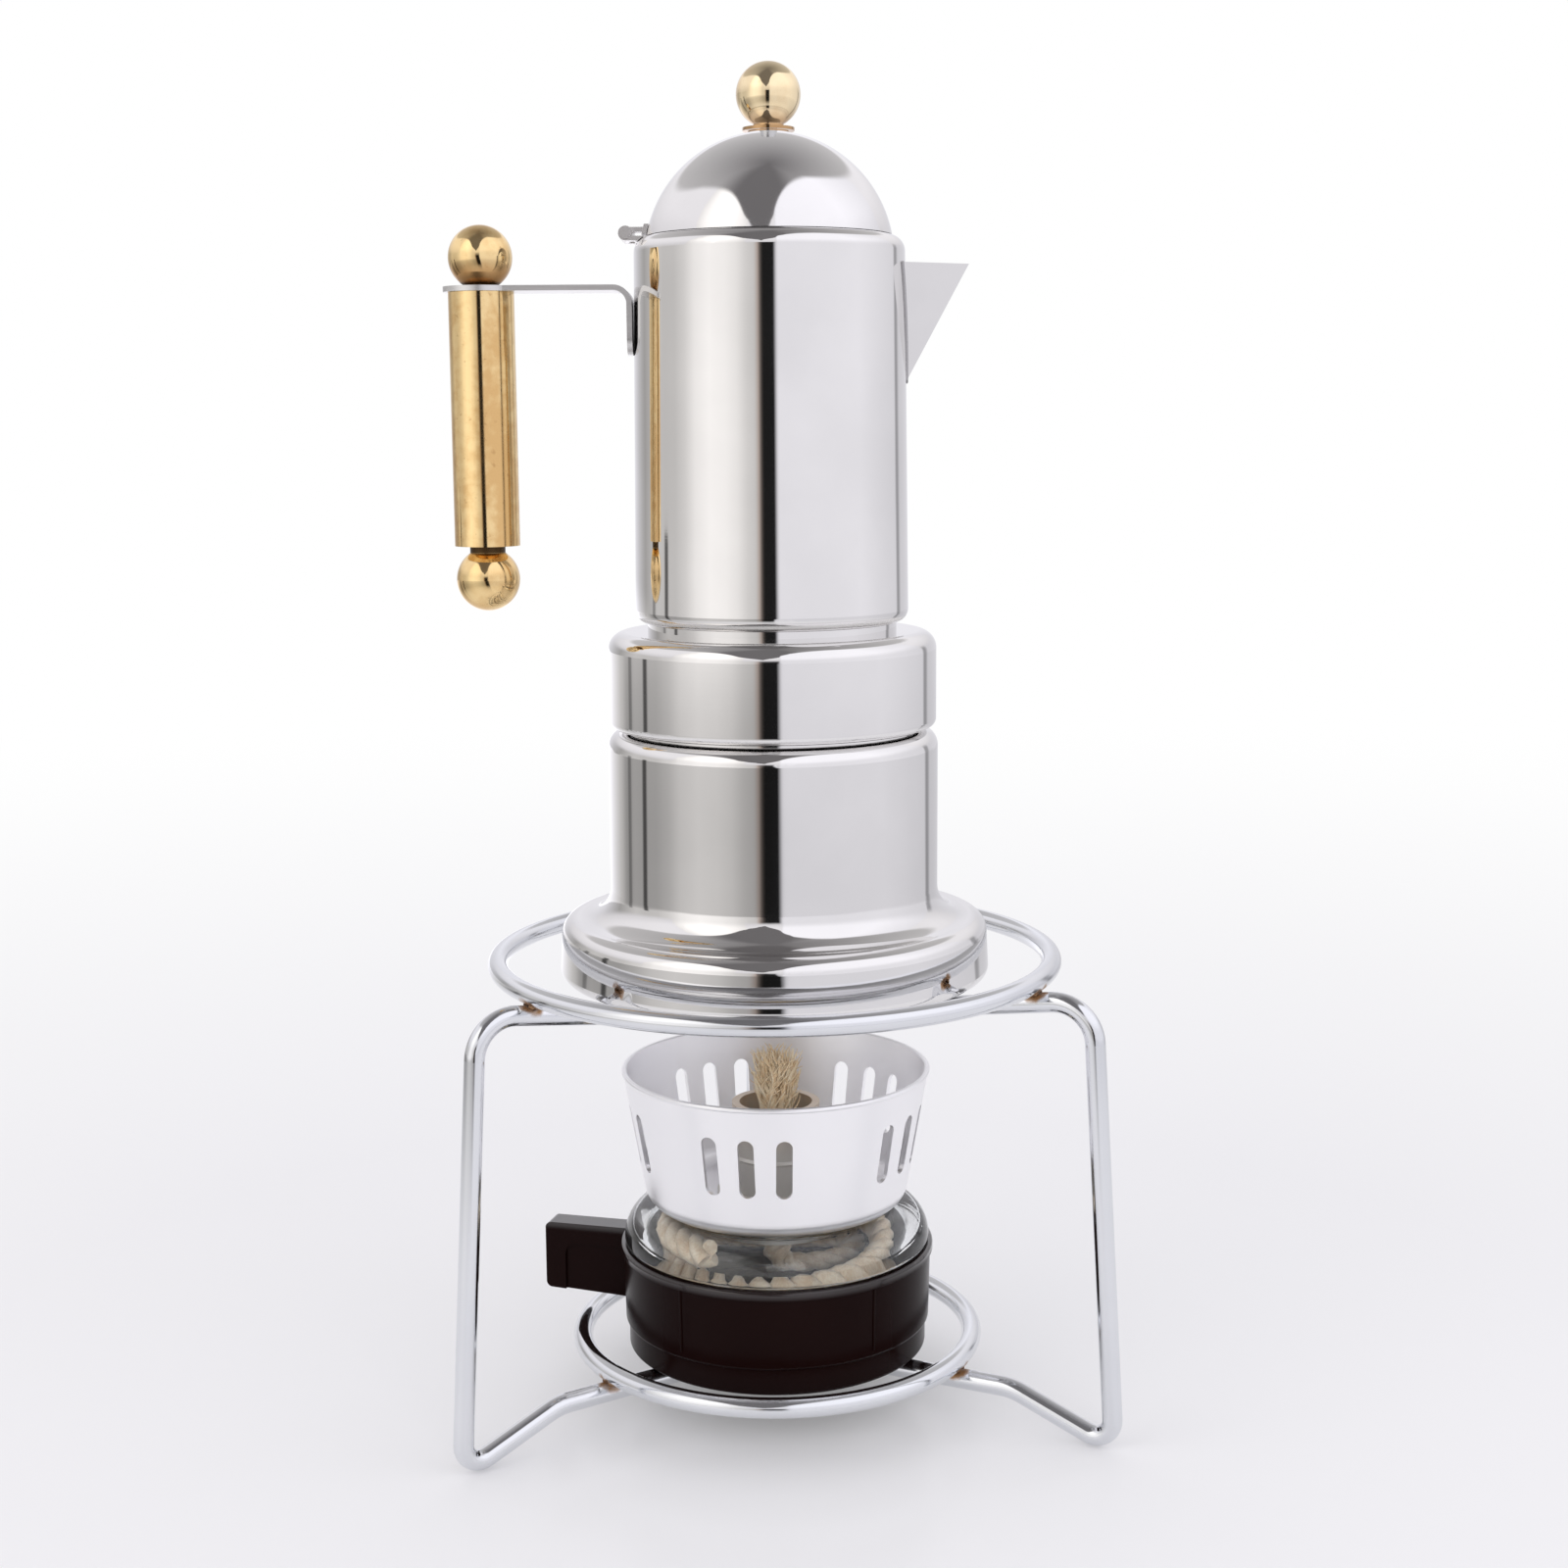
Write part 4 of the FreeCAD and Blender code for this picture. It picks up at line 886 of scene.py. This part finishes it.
pot_metal = polished_steel("pot_steel", STEEL, MIRROR)
jug_metal = polished_steel("jug_steel", STEEL, MIRROR, jug_hollow)
spout_metal = polished_steel("spout_steel", STEEL, MIRROR, spout_hollow)
boiler_metal = polished_steel("boiler_steel", STEEL, MIRROR, neck_hollow)
lid_metal = polished_steel("lid_steel", (0.82, 0.81, 0.81), 0.05, lid_hollow)
hinge_metal = polished_steel("hinge_steel", (0.84, 0.82, 0.81), 0.28)
bracket_metal = satin_steel("bracket_steel", (0.80, 0.79, 0.785))
# The seam's dark grey is painted shade for the crease where the spout meets the jug
shaded_seam_metal = satin_steel("seam_steel", (0.50, 0.49, 0.50))
inner_metal = satin_steel("inner_steel", (0.66, 0.66, 0.66))
wire_metal = plated_wire()
burnt_metal = weld_metal()
knob_brass = gilt_brass("knob_brass", 0.25, pale=(0.94, 0.78, 0.51), painted_shade=KNOB_PAINTED_SHADE)
upper_ball_brass = gilt_brass("upper_ball_brass", 0.45, shaded_crevice=UPPER_BALL_PAINTED_SHADOW, painted_shade=UPPER_BALL_PAINTED_SHADE)
lower_ball_brass = gilt_brass("lower_ball_brass", 0.45, shaded_crevice=LOWER_BALL_PAINTED_SHADOW)
grip_brass = gilt_brass("grip_brass", 0.6)
valve_metal = gilt_brass("valve_brass", 0.6)
shield_metal = spun_aluminium()
tube_metal = heat_stained_steel()
dark_plastic = moulded_plastic()
jar_glass = clear_glass()
cord_cotton = cotton("cord_cotton", (0.96, 0.84, 0.66), (0.74, 0.55, 0.36))
# The tuft's cotton is a paler copy of the cord's: painted light that lifts the shade under the pot
lit_tuft_cotton = cotton("lit_tuft_cotton", (1.0, 0.89, 0.69), (0.82, 0.59, 0.33))
seal_rubber = pale_rubber()

dress(pot_metal, "base_disc", "screw_collar")
dress(spout_metal, "spout")
dress(jug_metal, "jug_shell")
dress(boiler_metal, "boiler_shell")
dress(lid_metal, "lid_dome")
dress(bracket_metal, "handle_bracket")
dress(hinge_metal, "hinge_bracket", "hinge_pin", "lid_leaf")
dress(inner_metal, "filter_basket", "basket_sieve", "filter_plate", "coffee_column")
dress(inner_metal, "knob_screw", "handle_rod", "valve_spring")
dress(wire_metal, "upper_ring", "lower_ring", "front_left_leg", "front_right_leg", "rear_leg")
dress(knob_brass, "knob_ball", "knob_flange")
# Mirror rays pass the knob, so the lid shows no image of it
for name in ("knob_ball", "knob_flange"):
    NODES[name].visible_glossy = False
dress(upper_ball_brass, "handle_top_ball")
dress(lower_ball_brass, "handle_bottom_ball")
dress(grip_brass, "handle_grip")
dress(valve_metal, "valve_body", "valve_nut", "valve_pin")
dress(shield_metal, "wind_shield")
dress(tube_metal, "wick_holder")
dress(dark_plastic, "burner_cup", "burner_base")
dress(jar_glass, "fuel_jar")
dress(seal_rubber, "gasket")

wick_cord(cord_cotton)
wick_tuft(lit_tuft_cotton)
weld_beads(burnt_metal)
shield_rim(shield_metal)
spout_seam(shaded_seam_metal)
mould_lines(dark_plastic)

bpy.context.scene.view_settings.view_transform = "Standard"
